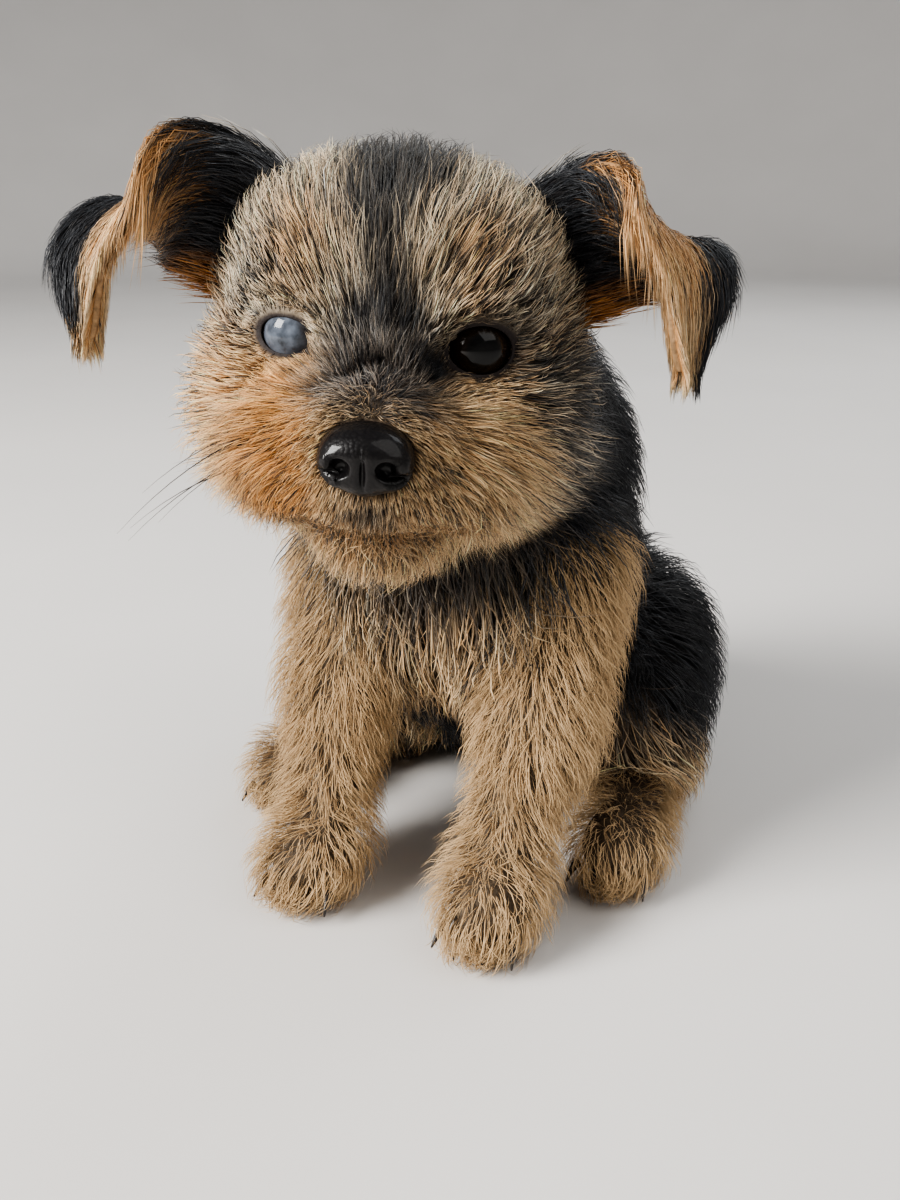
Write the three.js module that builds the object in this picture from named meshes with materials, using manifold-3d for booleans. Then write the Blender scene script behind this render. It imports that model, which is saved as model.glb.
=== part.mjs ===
// A Yorkshire terrier puppy of about eight weeks, sitting squarely on the floor, life size.
// Millimetres, +Z up. The puppy faces -Y, its left side is +X and the floor is z = 0.
// The coat is a core, which fills its lower half, with tapered locks out to its tips.

import * as THREE from "three";
import { mergeVertices } from "three/addons/utils/BufferGeometryUtils.js";
import Module from "manifold-3d";

const wasm = await Module();
wasm.setup();

// Driving dimensions
const gap = 0.3; // air between two neighbouring pieces
const headAt = [-4, -62, 140]; // middle of the skull
const headTurn = 20; // degrees, the face turned to the puppy's left
const headTilt = 4; // degrees, the left ear lower
const eyeRadius = 7.6;
const eyeAt = [16.8, -19.5, 0.5]; // left eye, in the head's own frame
const eyeLook = [0.3, -1, 0.02];
const noseAt = [0, -45.5, -16.5];
const mouthHeight = -26; // in the head's own frame
const earThickness = 3;
const earHalfWidth = 16;
const legSpread = 24; // forelegs, from the middle of the body
const rightFootSplay = 6; // the right hind foot lies this much further out
const seatBack = 24; // the middle of the rump it sits on, where the origin goes
const leastOverlap = 0.002; // cubic millimetres that two nodes may share by rounding
const thinnestFace = 0.0015; // height of the flattest triangle that a node may have
const coatSoftness = 5; // mm over which neighbouring masses flow into one another
const lockSink = 3; // depth of a lock's root under the core's surface
const eyeClearance = 10; // no lock comes nearer to the middle of an eye
const mostSeeds = 40; // coats that are tried before a node counts as pinched

const at = (x, y, z) => new THREE.Vector3(x, y, z);
const mix = THREE.MathUtils.lerp;
const clamp = THREE.MathUtils.clamp;
const smooth = THREE.MathUtils.smoothstep;
const radians = THREE.MathUtils.degToRad;
const sides = [
  ["left", 1],
  ["right", -1],
];

// Seeded random numbers, so that every run makes the same coat
function seeded(seed) {
  let state = seed;
  return () => {
    state = (state + 0x6d2b79f5) | 0;
    let t = Math.imul(state ^ (state >>> 15), 1 | state);
    t = (t + Math.imul(t ^ (t >>> 7), 61 | t)) ^ t;
    return ((t ^ (t >>> 14)) >>> 0) / 4294967296;
  };
}

// Masses: functions that give a point's distance from a surface, negative inside

function egg([x, y, z], [rx, ry, rz]) {
  return (p) => {
    const a = (p.x - x) / rx;
    const b = (p.y - y) / ry;
    const c = (p.z - z) / rz;
    const k = Math.hypot(a, b, c);
    const slope = Math.hypot(a / rx, b / ry, c / rz);
    return k < 1e-6 ? -Math.min(rx, ry, rz) : (k * (k - 1)) / slope;
  };
}

function rod(from, to, fromRadius, toRadius) {
  const a = at(...from);
  const line = at(...to).sub(a);
  const offset = new THREE.Vector3();
  return (p) => {
    offset.subVectors(p, a);
    const t = clamp(offset.dot(line) / line.lengthSq(), 0, 1);
    return offset.addScaledVector(line, -t).length() - mix(fromRadius, toRadius, t);
  };
}

function blend(softness, ...masses) {
  return (p) => {
    let sum = 0;
    for (const mass of masses) sum += Math.exp(-mass(p) / softness);
    return -softness * Math.log(sum + 1e-300);
  };
}

// A mass with smooth hollows
function hollowed(softness, mass, ...hollows) {
  return (p) => {
    let sum = Math.exp(mass(p) / softness);
    for (const hollow of hollows) sum += Math.exp(-hollow(p) / softness);
    return softness * Math.log(sum);
  };
}

const swollen = (mass, by) => (p) => mass(p) - by;
const pair = (make) => sides.map(([, s]) => make(s));

// The head's own frame: x to the puppy's left, -y forwards, z up
const headFrame = new THREE.Matrix4().compose(
  at(...headAt),
  new THREE.Quaternion().setFromEuler(new THREE.Euler(0, radians(headTilt), radians(headTurn), "ZYX")),
  at(1, 1, 1),
);
const toHead = headFrame.clone().invert();
const fromHead = (x, y, z) => at(x, y, z).applyMatrix4(headFrame);
const inHeadFrame = new THREE.Vector3();
const ofHead = (mass) => (p) => mass(inHeadFrame.copy(p).applyMatrix4(toHead));

const eyeMiddle = (s) => at(s * eyeAt[0], eyeAt[1], eyeAt[2]);
const eyeAxis = (s) => at(s * eyeLook[0], eyeLook[1], eyeLook[2]).normalize();
const skull = blend(
  coatSoftness * 0.7,
  egg([0, 5, 6], [35.5, 34, 27.5]), // cranium
  egg([0, -9, 11], [28, 20, 18]), // forehead
  ...pair((s) => egg([s * 21, -4, -13], [18, 21, 19])), // cheeks
  ...pair((s) => egg([s * 13, -20, 11], [10, 7, 6])), // brows
  ...pair((s) => egg([s * 18, -18, -10], [9, 8, 6])), // under the eyes
  rod([0, -15, -14], [0, -32, -17], 18, 12.5), // muzzle
  ...pair((s) => egg([s * 12, -25, -20], [15, 16, 13])), // upper lips
  rod([0, -6, -26], [0, -25, -29], 19, 13.5), // lower jaw
);
const socketOut = 10.5; // the middle of the hollow round each eye, out from the eye's own middle
const socketAt = (s) => eyeAxis(s).multiplyScalar(socketOut).add(eyeMiddle(s)).toArray();
const headMass = hollowed(1.2, skull, ...pair((s) => egg(socketAt(s), [8.8, 8.5, 7.6])));

const footOut = (s) => (s < 0 ? rightFootSplay : 0);
const cores = {
  head: ofHead(headMass),
  neck: rod([0, -24, 104], [-3, -49, 127], 33, 31),
  torso: blend(
    coatSoftness,
    egg([0, -30, 84], [35, 32, 38]), // chest
    egg([0, -19, 104], [31, 27, 23]), // withers
    egg([0, -8, 62], [36, 36, 37]), // barrel
    egg([0, 24, 34], [40, 34, 39]), // rump
    egg([0, -46, 88], [21, 16, 24]), // breast
  ),
  tail: (p) => Math.min(...tailPoints.map((q, i) => q.distanceTo(p) - mix(13, 7.5, i / tailSteps))),
};
for (const [side, s] of sides) {
  const elbow = [s * (legSpread + 3), -52, 48];
  const toes = s * (45 + footOut(s));
  cores["foreleg_" + side] = blend(
    coatSoftness * 0.6,
    rod([s * (legSpread + 3), -40, 82], elbow, 17, 14),
    rod(elbow, [s * legSpread, -66, 20], 13, 11),
    egg([s * legSpread, -74, 11], [13.5, 17, 12]), // paw
  );
  cores["hindleg_" + side] = blend(
    coatSoftness,
    egg([s * 34, 13, 36], [21, 33, 33]), // thigh
    egg([s * 39, -6, 34], [15, 21, 21]), // knee
  );
  cores["hindfoot_" + side] = blend(
    coatSoftness * 0.6,
    rod([s * 42, 8, 12], [toes, -30, 11], 12, 11),
    egg([toes, -40, 10.5], [13, 15, 11.5]), // toes
  );
}

const tailLine = new THREE.CatmullRomCurve3([
  at(0, 44, 26),
  at(1, 60, 17),
  at(5, 75, 10),
  at(14, 86, 7.5),
  at(25, 92, 6.5),
]);
const tailSteps = 16;
const tailPoints = tailLine.getPoints(tailSteps);

// The whole body's surface, which the locks lie along
const body = (p) => Math.min(...Object.values(cores).map((core) => core(p)));

function outwards(mass, p) {
  const d = 0.5;
  return at(
    mass(at(p.x + d, p.y, p.z)) - mass(at(p.x - d, p.y, p.z)),
    mass(at(p.x, p.y + d, p.z)) - mass(at(p.x, p.y - d, p.z)),
    mass(at(p.x, p.y, p.z + d)) - mass(at(p.x, p.y, p.z - d)),
  ).normalize();
}

// Wrapping: each vertex of a three.js form moves out along its own ray to a mass's surface

function surfaceAlong(mass, from, direction) {
  const step = 2;
  const reach = 140;
  const p = new THREE.Vector3();
  const inside = (t) => mass(p.copy(from).addScaledVector(direction, t)) < 0;
  let far = step;
  while (far < reach && inside(far)) far += step;
  let near = far - step;
  for (let i = 0; i < 12; i += 1) {
    const middle = (near + far) / 2;
    if (inside(middle)) near = middle;
    else far = middle;
  }
  return from.clone().addScaledVector(direction, (near + far) / 2);
}

function bare(geometry) {
  const plain = geometry.clone();
  plain.deleteAttribute("normal");
  plain.deleteAttribute("uv");
  return mergeVertices(plain, 1e-3);
}

function reshaped(form, move) {
  const geometry = bare(form);
  const position = geometry.attributes.position;
  for (let i = 0; i < position.count; i += 1) {
    const p = move(new THREE.Vector3().fromBufferAttribute(position, i));
    position.setXYZ(i, p.x, p.y, p.z);
  }
  return geometry;
}

// A ball of even triangles about one middle point
function ballOn(mass, middle, detail) {
  const ball = new THREE.IcosahedronGeometry(1, detail);
  return reshaped(ball, (v) => surfaceAlong(mass, middle, v.normalize()));
}

// A capsule bent along a line
function capsuleOn(mass, line, side, rings, around) {
  const capsule = new THREE.CapsuleGeometry(1, 2, 3, around, rings);
  return reshaped(capsule, (v) => {
    const y = clamp(v.y, -1, 1);
    const along = line.getTangent((y + 1) / 2).normalize();
    const front = new THREE.Vector3().crossVectors(along, side).normalize();
    const across = new THREE.Vector3().crossVectors(front, along);
    const ray = across.multiplyScalar(v.x).addScaledVector(along, v.y - y).addScaledVector(front, -v.z);
    return surfaceAlong(mass, line.getPoint((y + 1) / 2), ray.normalize());
  });
}

const xAxis = at(1, 0, 0);
const curve = (...points) => new THREE.CatmullRomCurve3(points.map((p) => at(...p)));
const wraps = {
  head: (mass) => ballOn(mass, fromHead(0, -8, -6), 6),
  neck: (mass) => capsuleOn(mass, curve([0, -26, 106], [-3, -48, 126]), xAxis, 2, 16),
  torso: (mass) => capsuleOn(mass, curve([0, 22, 36], [0, -6, 64], [0, -26, 92]), xAxis, 6, 18),
  tail: (mass) => capsuleOn(mass, tailLine, at(0, 0, 1), 8, 10),
};
for (const [side, s] of sides) {
  const x = s * (legSpread + 3);
  const toes = s * (45 + footOut(s));
  const legLine = curve([x, -44, 72], [x, -52, 48], [s * legSpread, -65, 22], [s * legSpread, -72, 12]);
  const footLine = curve([s * 42, 8, 12], [(s * 42 + toes) / 2, -16, 11], [toes, -40, 11]);
  wraps["foreleg_" + side] = (mass) => capsuleOn(mass, legLine, xAxis, 7, 10);
  wraps["hindleg_" + side] = (mass) => ballOn(mass, at(s * 35, 8, 35), 3);
  wraps["hindfoot_" + side] = (mass) => capsuleOn(mass, footLine, xAxis, 4, 10);
}

// Solids

function solidOf(geometry) {
  const merged = bare(geometry);
  const made = new wasm.Mesh({
    numProp: 3,
    vertProperties: new Float32Array(merged.attributes.position.array),
    triVerts: new Uint32Array(merged.index.array),
  });
  return new wasm.Manifold(made);
}

// The solid's faces, with every corner moved onto a fine grid
function geometryOf(solid, grid) {
  const { numVert, numProp, vertProperties, triVerts } = solid.getMesh();
  const positions = new Float32Array(numVert * 3);
  for (let i = 0; i < numVert; i += 1) {
    for (let j = 0; j < 3; j += 1) {
      positions[i * 3 + j] = Math.round(vertProperties[i * numProp + j] / grid) * grid;
    }
  }
  const geometry = new THREE.BufferGeometry();
  geometry.setAttribute("position", new THREE.BufferAttribute(positions, 3));
  geometry.setIndex(new THREE.BufferAttribute(new Uint32Array(triVerts), 1));
  return geometry;
}

const joined = (solids) => solids.reduce((whole, solid) => whole.add(solid));
const without = (solid, cutters) => cutters.reduce((left, cutter) => left.subtract(cutter), solid);

// The solid without its sealed hollows
const filled = (solid) => joined(solid.decompose().filter((surface) => surface.volume() > 0));

// True where every edge has exactly two faces and no face is a sliver
function isSound(geometry) {
  const index = geometry.index.array;
  const triangle = new THREE.Triangle();
  for (let i = 0; i < index.length; i += 3) {
    triangle.setFromAttributeAndIndices(geometry.attributes.position, index[i], index[i + 1], index[i + 2]);
    const { a, b, c } = triangle;
    const longest = Math.max(a.distanceTo(b), b.distanceTo(c), c.distanceTo(a));
    if ((2 * triangle.getArea()) / longest < thinnestFace) return false;
  }
  const uses = new Map();
  for (let i = 0; i < index.length; i += 3) {
    for (let j = 0; j < 3; j += 1) {
      const a = index[i + j];
      const b = index[i + ((j + 1) % 3)];
      const edge = `${Math.min(a, b)} ${Math.max(a, b)}`;
      uses.set(edge, (uses.get(edge) || 0) + 1);
    }
  }
  return [...uses.values()].every((faces) => faces === 2);
}

// The closed surface of greatest volume, which fills a sealed hollow and drops loose scraps.
// It is null where it is pinched on every grid.
function largestSurface(solid) {
  for (const grid of [0.01, 0.007, 0.0013]) {
    const surfaces = solidOf(geometryOf(solid, grid)).decompose();
    const best = surfaces.reduce((a, b) => (b.volume() > a.volume() ? b : a));
    const geometry = bare(geometryOf(best, grid));
    if (isSound(geometry)) return geometry;
  }
  return null;
}
const inHead = (geometry) => solidOf(bare(geometry).applyMatrix4(headFrame));

// A closed surface of rings, each a list of points, that ends in one point
function taper(rings, tip) {
  const around = rings[0].length;
  const points = [...rings.flat(), tip];
  const faces = [];
  for (let j = 1; j < around - 1; j += 1) faces.push(0, j + 1, j);
  rings.forEach((ring, i) => {
    for (let j = 0; j < around; j += 1) {
      const a = i * around + j;
      const b = i * around + ((j + 1) % around);
      if (i === rings.length - 1) faces.push(a, b, points.length - 1);
      else faces.push(a, b, b + around, a, b + around, a + around);
    }
  });
  const geometry = new THREE.BufferGeometry().setFromPoints(points);
  geometry.setIndex(faces);
  return solidOf(geometry);
}

// Locks

const lockStations = [0, 0.38, 0.74];
const lockWidths = [0.7, 1, 0.8];
const lockThickness = 2.4;

// The solid of one lock, from its middle line, the normals along it and its greatest width
function lockSolid({ line, normals, width }, swell = 0) {
  const rings = lockStations.map((s, i) => {
    const next = line[i + 1];
    const along = next.clone().sub(line[i]).normalize();
    const across = new THREE.Vector3().crossVectors(normals[i], along).normalize();
    const up = new THREE.Vector3().crossVectors(along, across);
    const w = (width * lockWidths[i]) / 2 + swell;
    const t = (lockThickness * mix(1, 0.6, s)) / 2 + swell;
    const corners = [
      [w, 0],
      [0, t],
      [-w, 0],
      [0, -t],
    ];
    return corners.map(([a, b]) => line[i].clone().addScaledVector(across, a).addScaledVector(up, b));
  });
  const last = line.length - 1;
  const point = line[last].clone().sub(line[last - 1]).setLength(swell * 2).add(line[last]);
  return taper(rings, point);
}

// A lock that lies along the body, rising from under the core's surface to `lift` above it
function lyingLock({ root, lie, length, width, lift }) {
  const p = root.clone();
  const line = [];
  const normals = [];
  let walked = 0;
  for (const s of [...lockStations, 1]) {
    const normal = outwards(body, p);
    const along = lie(p).clone();
    along.addScaledVector(normal, -along.dot(normal)).normalize();
    p.addScaledVector(along, (s - walked) * length);
    walked = s;
    const height = -lockSink + (lockSink + lift) * Math.pow(s, 0.65);
    for (let i = 0; i < 3; i += 1) p.addScaledVector(outwards(body, p), height - body(p));
    const floorLevel = mix(0, 1.6, s);
    if (p.z < floorLevel) p.z = floorLevel;
    line.push(p.clone());
    normals.push(outwards(body, p));
  }
  return { line, normals, width };
}

// Points spread evenly over a geometry, at least `spacing(point)` apart
function scattered(geometry, spacing, allowed, random) {
  const flat = geometry.toNonIndexed().attributes.position;
  const triangle = new THREE.Triangle();
  const areas = [];
  let total = 0;
  for (let i = 0; i < flat.count; i += 3) {
    triangle.setFromAttributeAndIndices(flat, i, i + 1, i + 2);
    total += triangle.getArea();
    areas.push(total);
  }
  const kept = [];
  const tries = 4000;
  for (let n = 0; n < tries; n += 1) {
    const wanted = random() * total;
    const face = areas.findIndex((area) => area >= wanted);
    triangle.setFromAttributeAndIndices(flat, face * 3, face * 3 + 1, face * 3 + 2);
    const a = Math.sqrt(random());
    const b = random();
    const p = triangle.a.clone().multiplyScalar(1 - a);
    p.addScaledVector(triangle.b, a * (1 - b)).addScaledVector(triangle.c, a * b);
    if (allowed(p) && kept.every((q) => q.distanceTo(p) > spacing(p))) kept.push(p);
  }
  return kept;
}

// The lie of the coat on each part
const lies = {
  head: (p) => {
    const q = p.clone().applyMatrix4(toHead);
    const away = q.clone().sub(at(0, -38, -14)).normalize();
    away.z -= 0.3 * smooth(-q.z, -5, 15);
    away.lerp(at(0, 0.3, -1), smooth(q.y, 2, 30));
    return away.transformDirection(headFrame);
  },
  neck: (p) => at(p.x * 0.01, 0.35, -1),
  torso: (p) => at(p.x * 0.006, 0.25 + 0.3 * smooth(p.y, -40, 10), -1),
  foreleg: (p) => at(p.x * 0.004, mix(-1, 0.05, smooth(p.z, 8, 30)), mix(-0.7, -1, smooth(p.z, 8, 30))),
  hindleg: (p) => at(p.x * 0.006, 0.3, -1),
  hindfoot: (p) => at(Math.sign(p.x) * 0.2, -0.8, -0.5),
  tail: (p) => {
    const nearest = tailPoints.reduce((best, q) => (q.distanceTo(p) < best.distanceTo(p) ? q : best));
    return tailLine.getTangent(tailPoints.indexOf(nearest) / tailSteps);
  },
};

const nearEye = (q) => Math.min(...pair((s) => q.distanceTo(eyeMiddle(s))));
const lockLengths = {
  head: (p) => {
    const q = p.clone().applyMatrix4(toHead);
    const fromNose = q.distanceTo(at(...noseAt));
    return mix(13, 25, smooth(fromNose, 12, 50)) * mix(0.75, 1, smooth(nearEye(q), 12, 24));
  },
  neck: () => 28,
  torso: () => 32,
  foreleg: (p) => mix(17, 24, smooth(p.z, 10, 50)),
  hindleg: () => 27,
  hindfoot: () => 19,
  tail: () => 25,
};

// How far the coat's tips stand above the core
const reaches = {
  head: (p) => {
    const q = p.clone().applyMatrix4(toHead);
    const fromNose = q.distanceTo(at(...noseAt));
    const cheek = smooth(Math.abs(q.x), 12, 30) * smooth(-q.z, -4, 12);
    return (mix(2.5, 5.5, smooth(fromNose, 10, 40)) + 2.5 * cheek) * smooth(nearEye(q), 9, 19);
  },
  neck: () => 7,
  torso: () => 6.5,
  foreleg: () => 5,
  hindleg: () => 6,
  hindfoot: () => 4.5,
  tail: () => 5.5,
};

function clearOfFace(p) {
  const q = p.clone().applyMatrix4(toHead);
  const earRoot = Math.min(...pair((s) => q.distanceTo(at(s * 30, 6, 20))));
  const mouthZone = q.y < -34 && q.z < -19;
  return nearEye(q) > 12.5 && q.distanceTo(at(...noseAt)) > 10.5 && earRoot > 13 && !mouthZone;
}

function coatOf(node, core, random) {
  const kind = node.split("_")[0];
  const others = Object.entries(cores).filter(([name]) => name !== node);
  const allowed = (p) =>
    p.z > 4 && others.every(([, other]) => other(p) > 1.5) && (kind !== "head" || clearOfFace(p));
  const lengthAt = lockLengths[kind];
  const roots = scattered(core, (p) => lengthAt(p) * 0.8, allowed, random);
  const locks = roots.map((root) => {
    const length = lengthAt(root) * mix(0.85, 1.15, random());
    const lift = reaches[kind](root) * mix(0.75, 1.15, random());
    return lyingLock({ root, lie: lies[kind], length, width: length * 0.55, lift });
  });
  const clearOfEyes = (p) => nearEye(p.clone().applyMatrix4(toHead)) > eyeClearance;
  return locks.filter(({ line }) => line.every(clearOfEyes));
}

// Ears: a cupped leaf that rises outwards from the skull and falls forwards at its fold.
// u runs from its inner edge, -1, to its outer edge, 1, and v from its root to its tip.

const earLines = {
  left: curve([26, 5, 9], [40, 5, 18], [51, 1, 24], [58, -7, 14], [59, -11, -7]),
  right: curve([26, 5, 9], [42, 5, 18], [56, 2, 23], [65, -5, 11], [63, -10, -9]),
};

function earPoint(side, u, v, lift = 0) {
  const line = earLines[side];
  const along = line.getTangent(v).normalize();
  const across = at(0.55, 0.3, -0.78).lerp(at(0.78, 0.62, 0.05), smooth(v, 0.2, 0.7));
  across.addScaledVector(along, -across.dot(along)).normalize();
  const face = new THREE.Vector3().crossVectors(along, across).normalize();
  const width = earHalfWidth * Math.pow(Math.sin(Math.PI * (0.3 + 0.68 * v)), 0.75);
  const cup = mix(7, 2, smooth(v, 0.2, 0.6));
  const p = line.getPoint(v).addScaledVector(across, u * width);
  return { p: p.addScaledVector(face, cup * (u * u - 0.3) + lift), along, across, face };
}

// A sheet between two faces that are split into triangles alike
function sheet(columns, rows, pointAt) {
  const points = [];
  const faces = [];
  const id = (i, j, face) => (face * (rows + 1) + j) * (columns + 1) + i;
  for (const face of [0, 1]) {
    for (let j = 0; j <= rows; j += 1) {
      for (let i = 0; i <= columns; i += 1) points.push(pointAt(i / columns, j / rows, face));
    }
  }
  const quad = (a, b, c, d) => faces.push(a, b, c, a, c, d);
  for (let j = 0; j < rows; j += 1) {
    for (let i = 0; i < columns; i += 1) {
      quad(id(i, j, 1), id(i + 1, j, 1), id(i + 1, j + 1, 1), id(i, j + 1, 1));
      faces.push(id(i, j, 0), id(i + 1, j + 1, 0), id(i + 1, j, 0));
      faces.push(id(i, j, 0), id(i, j + 1, 0), id(i + 1, j + 1, 0));
    }
    quad(id(0, j, 0), id(0, j, 1), id(0, j + 1, 1), id(0, j + 1, 0));
    quad(id(columns, j, 1), id(columns, j, 0), id(columns, j + 1, 0), id(columns, j + 1, 1));
  }
  for (let i = 0; i < columns; i += 1) {
    quad(id(i, 0, 0), id(i + 1, 0, 0), id(i + 1, 0, 1), id(i, 0, 1));
    quad(id(i, rows, 1), id(i + 1, rows, 1), id(i + 1, rows, 0), id(i, rows, 0));
  }
  const geometry = new THREE.BufferGeometry().setFromPoints(points);
  geometry.setIndex(faces);
  return geometry;
}

function turnInsideOut(geometry) {
  const index = geometry.index.array;
  for (let i = 0; i < index.length; i += 3) [index[i], index[i + 1]] = [index[i + 1], index[i]];
}

function earSheet(side, s, swell) {
  const leaf = sheet(6, 8, (i, j, face) => {
    const u = (i * 2 - 1) * (1 + swell / earHalfWidth);
    const thick = (earThickness / 2) * mix(1, 0.6, Math.abs(u) ** 3 * 0.5 + j * 0.5) + swell;
    return earPoint(side, u, j, (face - 0.5) * 2 * thick).p;
  });
  if (s < 0) leaf.scale(-1, 1, 1);
  else turnInsideOut(leaf);
  return inHead(leaf);
}

// A lock that springs from the ear at (u, v) and leans `out` beyond its edge
function earLock(side, s, { u, v, face, out, length, droop }, random) {
  const root = earPoint(side, u * 0.9, v, face * 0.4);
  const lean = root.along.clone().addScaledVector(root.across, out).normalize();
  const reach = length * mix(0.85, 1.15, random());
  const line = [...lockStations, 1].map((t) =>
    root.p
      .clone()
      .addScaledVector(lean, (t - 0.16) * reach)
      .addScaledVector(root.face, face * 4 * Math.sqrt(t))
      .add(at(0, 0, -droop * t * t)),
  );
  const world = (q) => fromHead(s * q.x, q.y, q.z);
  const normal = at(s * root.face.x, root.face.y, root.face.z).transformDirection(headFrame);
  return { line: line.map(world), normals: line.map(() => normal), width: 10 };
}

function earCoat(side, s, random) {
  const fringe = [];
  for (const v of [0.46, 0.62, 0.78]) {
    fringe.push({ u: -1, v, face: 0, out: -0.4, length: 15, droop: 2 });
    fringe.push({ u: 1, v, face: 0, out: 0.35, length: 14, droop: 3 });
  }
  for (const u of [-0.5, 0.4]) {
    fringe.push({ u, v: 0.92, face: 0, out: u * 0.3, length: 15, droop: 1 });
    fringe.push({ u, v: 0.22, face: 1, out: u * 0.4, length: 15, droop: 0 });
    fringe.push({ u: u * 0.9, v: 0.55, face: 1, out: u * 0.3, length: 16, droop: 2 });
  }
  return fringe.map((spec) => earLock(side, s, spec, random));
}

// Eyes, lids, nose and mouth, in the head's own frame

const eyeBall = (s, swell = 0) =>
  inHead(new THREE.IcosahedronGeometry(eyeRadius + swell, 2).translate(...eyeMiddle(s).toArray()));

function lid(s) {
  const look = eyeAxis(s);
  const side = at(0, 0, 1).cross(look).normalize();
  const up = look.clone().cross(side);
  const wide = radians(66);
  const high = radians(54);
  const points = [];
  for (let i = 0; i < 12; i += 1) {
    const turn = (i / 12) * 2 * Math.PI;
    const open = Math.hypot(wide * Math.cos(turn), high * Math.sin(turn));
    const rim = side.clone().multiplyScalar(wide * Math.cos(turn));
    rim.addScaledVector(up, high * Math.sin(turn)).normalize();
    const p = look.clone().multiplyScalar(Math.cos(open)).addScaledVector(rim, Math.sin(open));
    points.push(p.multiplyScalar(eyeRadius + 0.9).add(eyeMiddle(s)));
  }
  const rim = new THREE.CatmullRomCurve3(points, true);
  return inHead(new THREE.TubeGeometry(rim, 16, 1.9, 5, true));
}

function sweep(line, radius, steps) {
  const section = new THREE.Shape(new THREE.EllipseCurve(0, 0, radius, radius).getPoints(5).slice(0, 5));
  return new THREE.ExtrudeGeometry(section, { steps, extrudePath: line, bevelEnabled: false });
}

function mouthLine(raise, sunk) {
  const points = [];
  const corner = 56;
  for (let angle = -corner; angle <= corner; angle += corner / 5) {
    const a = radians(angle);
    const z = mouthHeight + raise - 1.5 * Math.abs(Math.sin(2 * a)) + 3 * (angle / corner) ** 2;
    const ray = at(Math.sin(a), -Math.cos(a), 0);
    points.push(surfaceAlong(swollen(headMass, -sunk), at(0, -22, z), ray));
  }
  return new THREE.CatmullRomCurve3(points);
}

const noseMass = blend(
  1.2,
  egg([0, noseAt[1], noseAt[2] + 1.5], [7.6, 6.4, 5]),
  ...pair((s) => egg([s * 4.9, noseAt[1] - 1.4, noseAt[2] - 0.8], [3.4, 4.4, 4])),
  egg([0, noseAt[1] - 1, noseAt[2] - 3.4], [4, 4.2, 3]),
);
const noseBall = (swell = 0) => inHead(ballOn(swollen(noseMass, swell), at(...noseAt), 3));

function nostrils() {
  const [, y, z] = noseAt;
  const openings = pair((s) => {
    const hollow = new THREE.SphereGeometry(1, 8, 6).scale(2, 3, 1.6).rotateZ(s * 0.5);
    return hollow.translate(s * 4.4, y - 5.6, z - 1);
  });
  const philtrum = new THREE.BoxGeometry(0.7, 2, 7).translate(0, y - 5.4, z - 4.5);
  return [...openings, philtrum].map(inHead);
}

// The puppy, node by node. A node keeps clear of those before it.

const underFloor = solidOf(new THREE.BoxGeometry(600, 600, 100).translate(0, 0, -50));
const tan = 0xb98a52;
const black = 0x1d1b1c;
const puppy = new THREE.Group();
const placed = [];
const taken = [];

function place(name, colour, roughness, make) {
  const geometry = largestSurface(without(make(0), [...taken, underFloor]));
  if (!geometry) return false;
  const finished = solidOf(geometry);
  if (placed.some((other) => other.intersect(finished).volume() > leastOverlap)) return false;
  placed.push(finished);
  taken.push(filled(make(gap)));
  geometry.translate(0, -seatBack, 0);
  const material = new THREE.MeshStandardMaterial({ color: colour, roughness, metalness: 0 });
  const mesh = new THREE.Mesh(geometry, material);
  mesh.name = name;
  puppy.add(mesh);
  return true;
}

// A node with locks, drawn again with the next seed where its locks pinch one another
function placeCoated(name, colour, drawLocks, makeCore) {
  for (let seed = 1; seed <= mostSeeds; seed += 1) {
    const locks = drawLocks(seeded(seed));
    const make = (swell) => joined([...makeCore(swell), ...locks.map((lock) => lockSolid(lock, swell))]);
    if (place(name, colour, 0.9, make)) return;
  }
  throw new Error(name + " is pinched with every seed");
}

function placeFurred(name, colour, extra = () => []) {
  const drawLocks = (random) => coatOf(name, wraps[name](cores[name]), random);
  placeCoated(name, colour, drawLocks, (swell) => [
    solidOf(wraps[name](swollen(cores[name], swell))),
    ...extra(swell),
  ]);
}

for (const [side, s] of sides) place("eye_" + side, 0x120d0c, 0.1, (swell) => eyeBall(s, swell));
place("nose", 0x171415, 0.35, (swell) => (swell ? noseBall(swell) : without(noseBall(), nostrils())));
const lips = () => [
  inHead(sweep(mouthLine(2, 0.6), 1.7, 10)),
  inHead(sweep(mouthLine(-2, 0.8), 1.5, 10)),
];
placeFurred("head", tan, () => [...pair(lid), ...lips()]);
for (const [side, s] of sides) {
  const fringe = (random) => earCoat(side, s, random);
  placeCoated("ear_" + side, black, fringe, (swell) => [earSheet(side, s, swell)]);
}
placeFurred("neck", tan);
placeFurred("torso", black);
for (const [side] of sides) placeFurred("foreleg_" + side, tan);
for (const [side] of sides) placeFurred("hindfoot_" + side, tan);
for (const [side] of sides) placeFurred("hindleg_" + side, black);
placeFurred("tail", black);

export default puppy;
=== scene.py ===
"""A Yorkshire terrier puppy of about eight weeks, sitting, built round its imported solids."""

import math

import bpy
import numpy as np
from bpy.props import FloatProperty, FloatVectorProperty, IntProperty, PointerProperty
from mathutils import Matrix, Vector, kdtree


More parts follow.
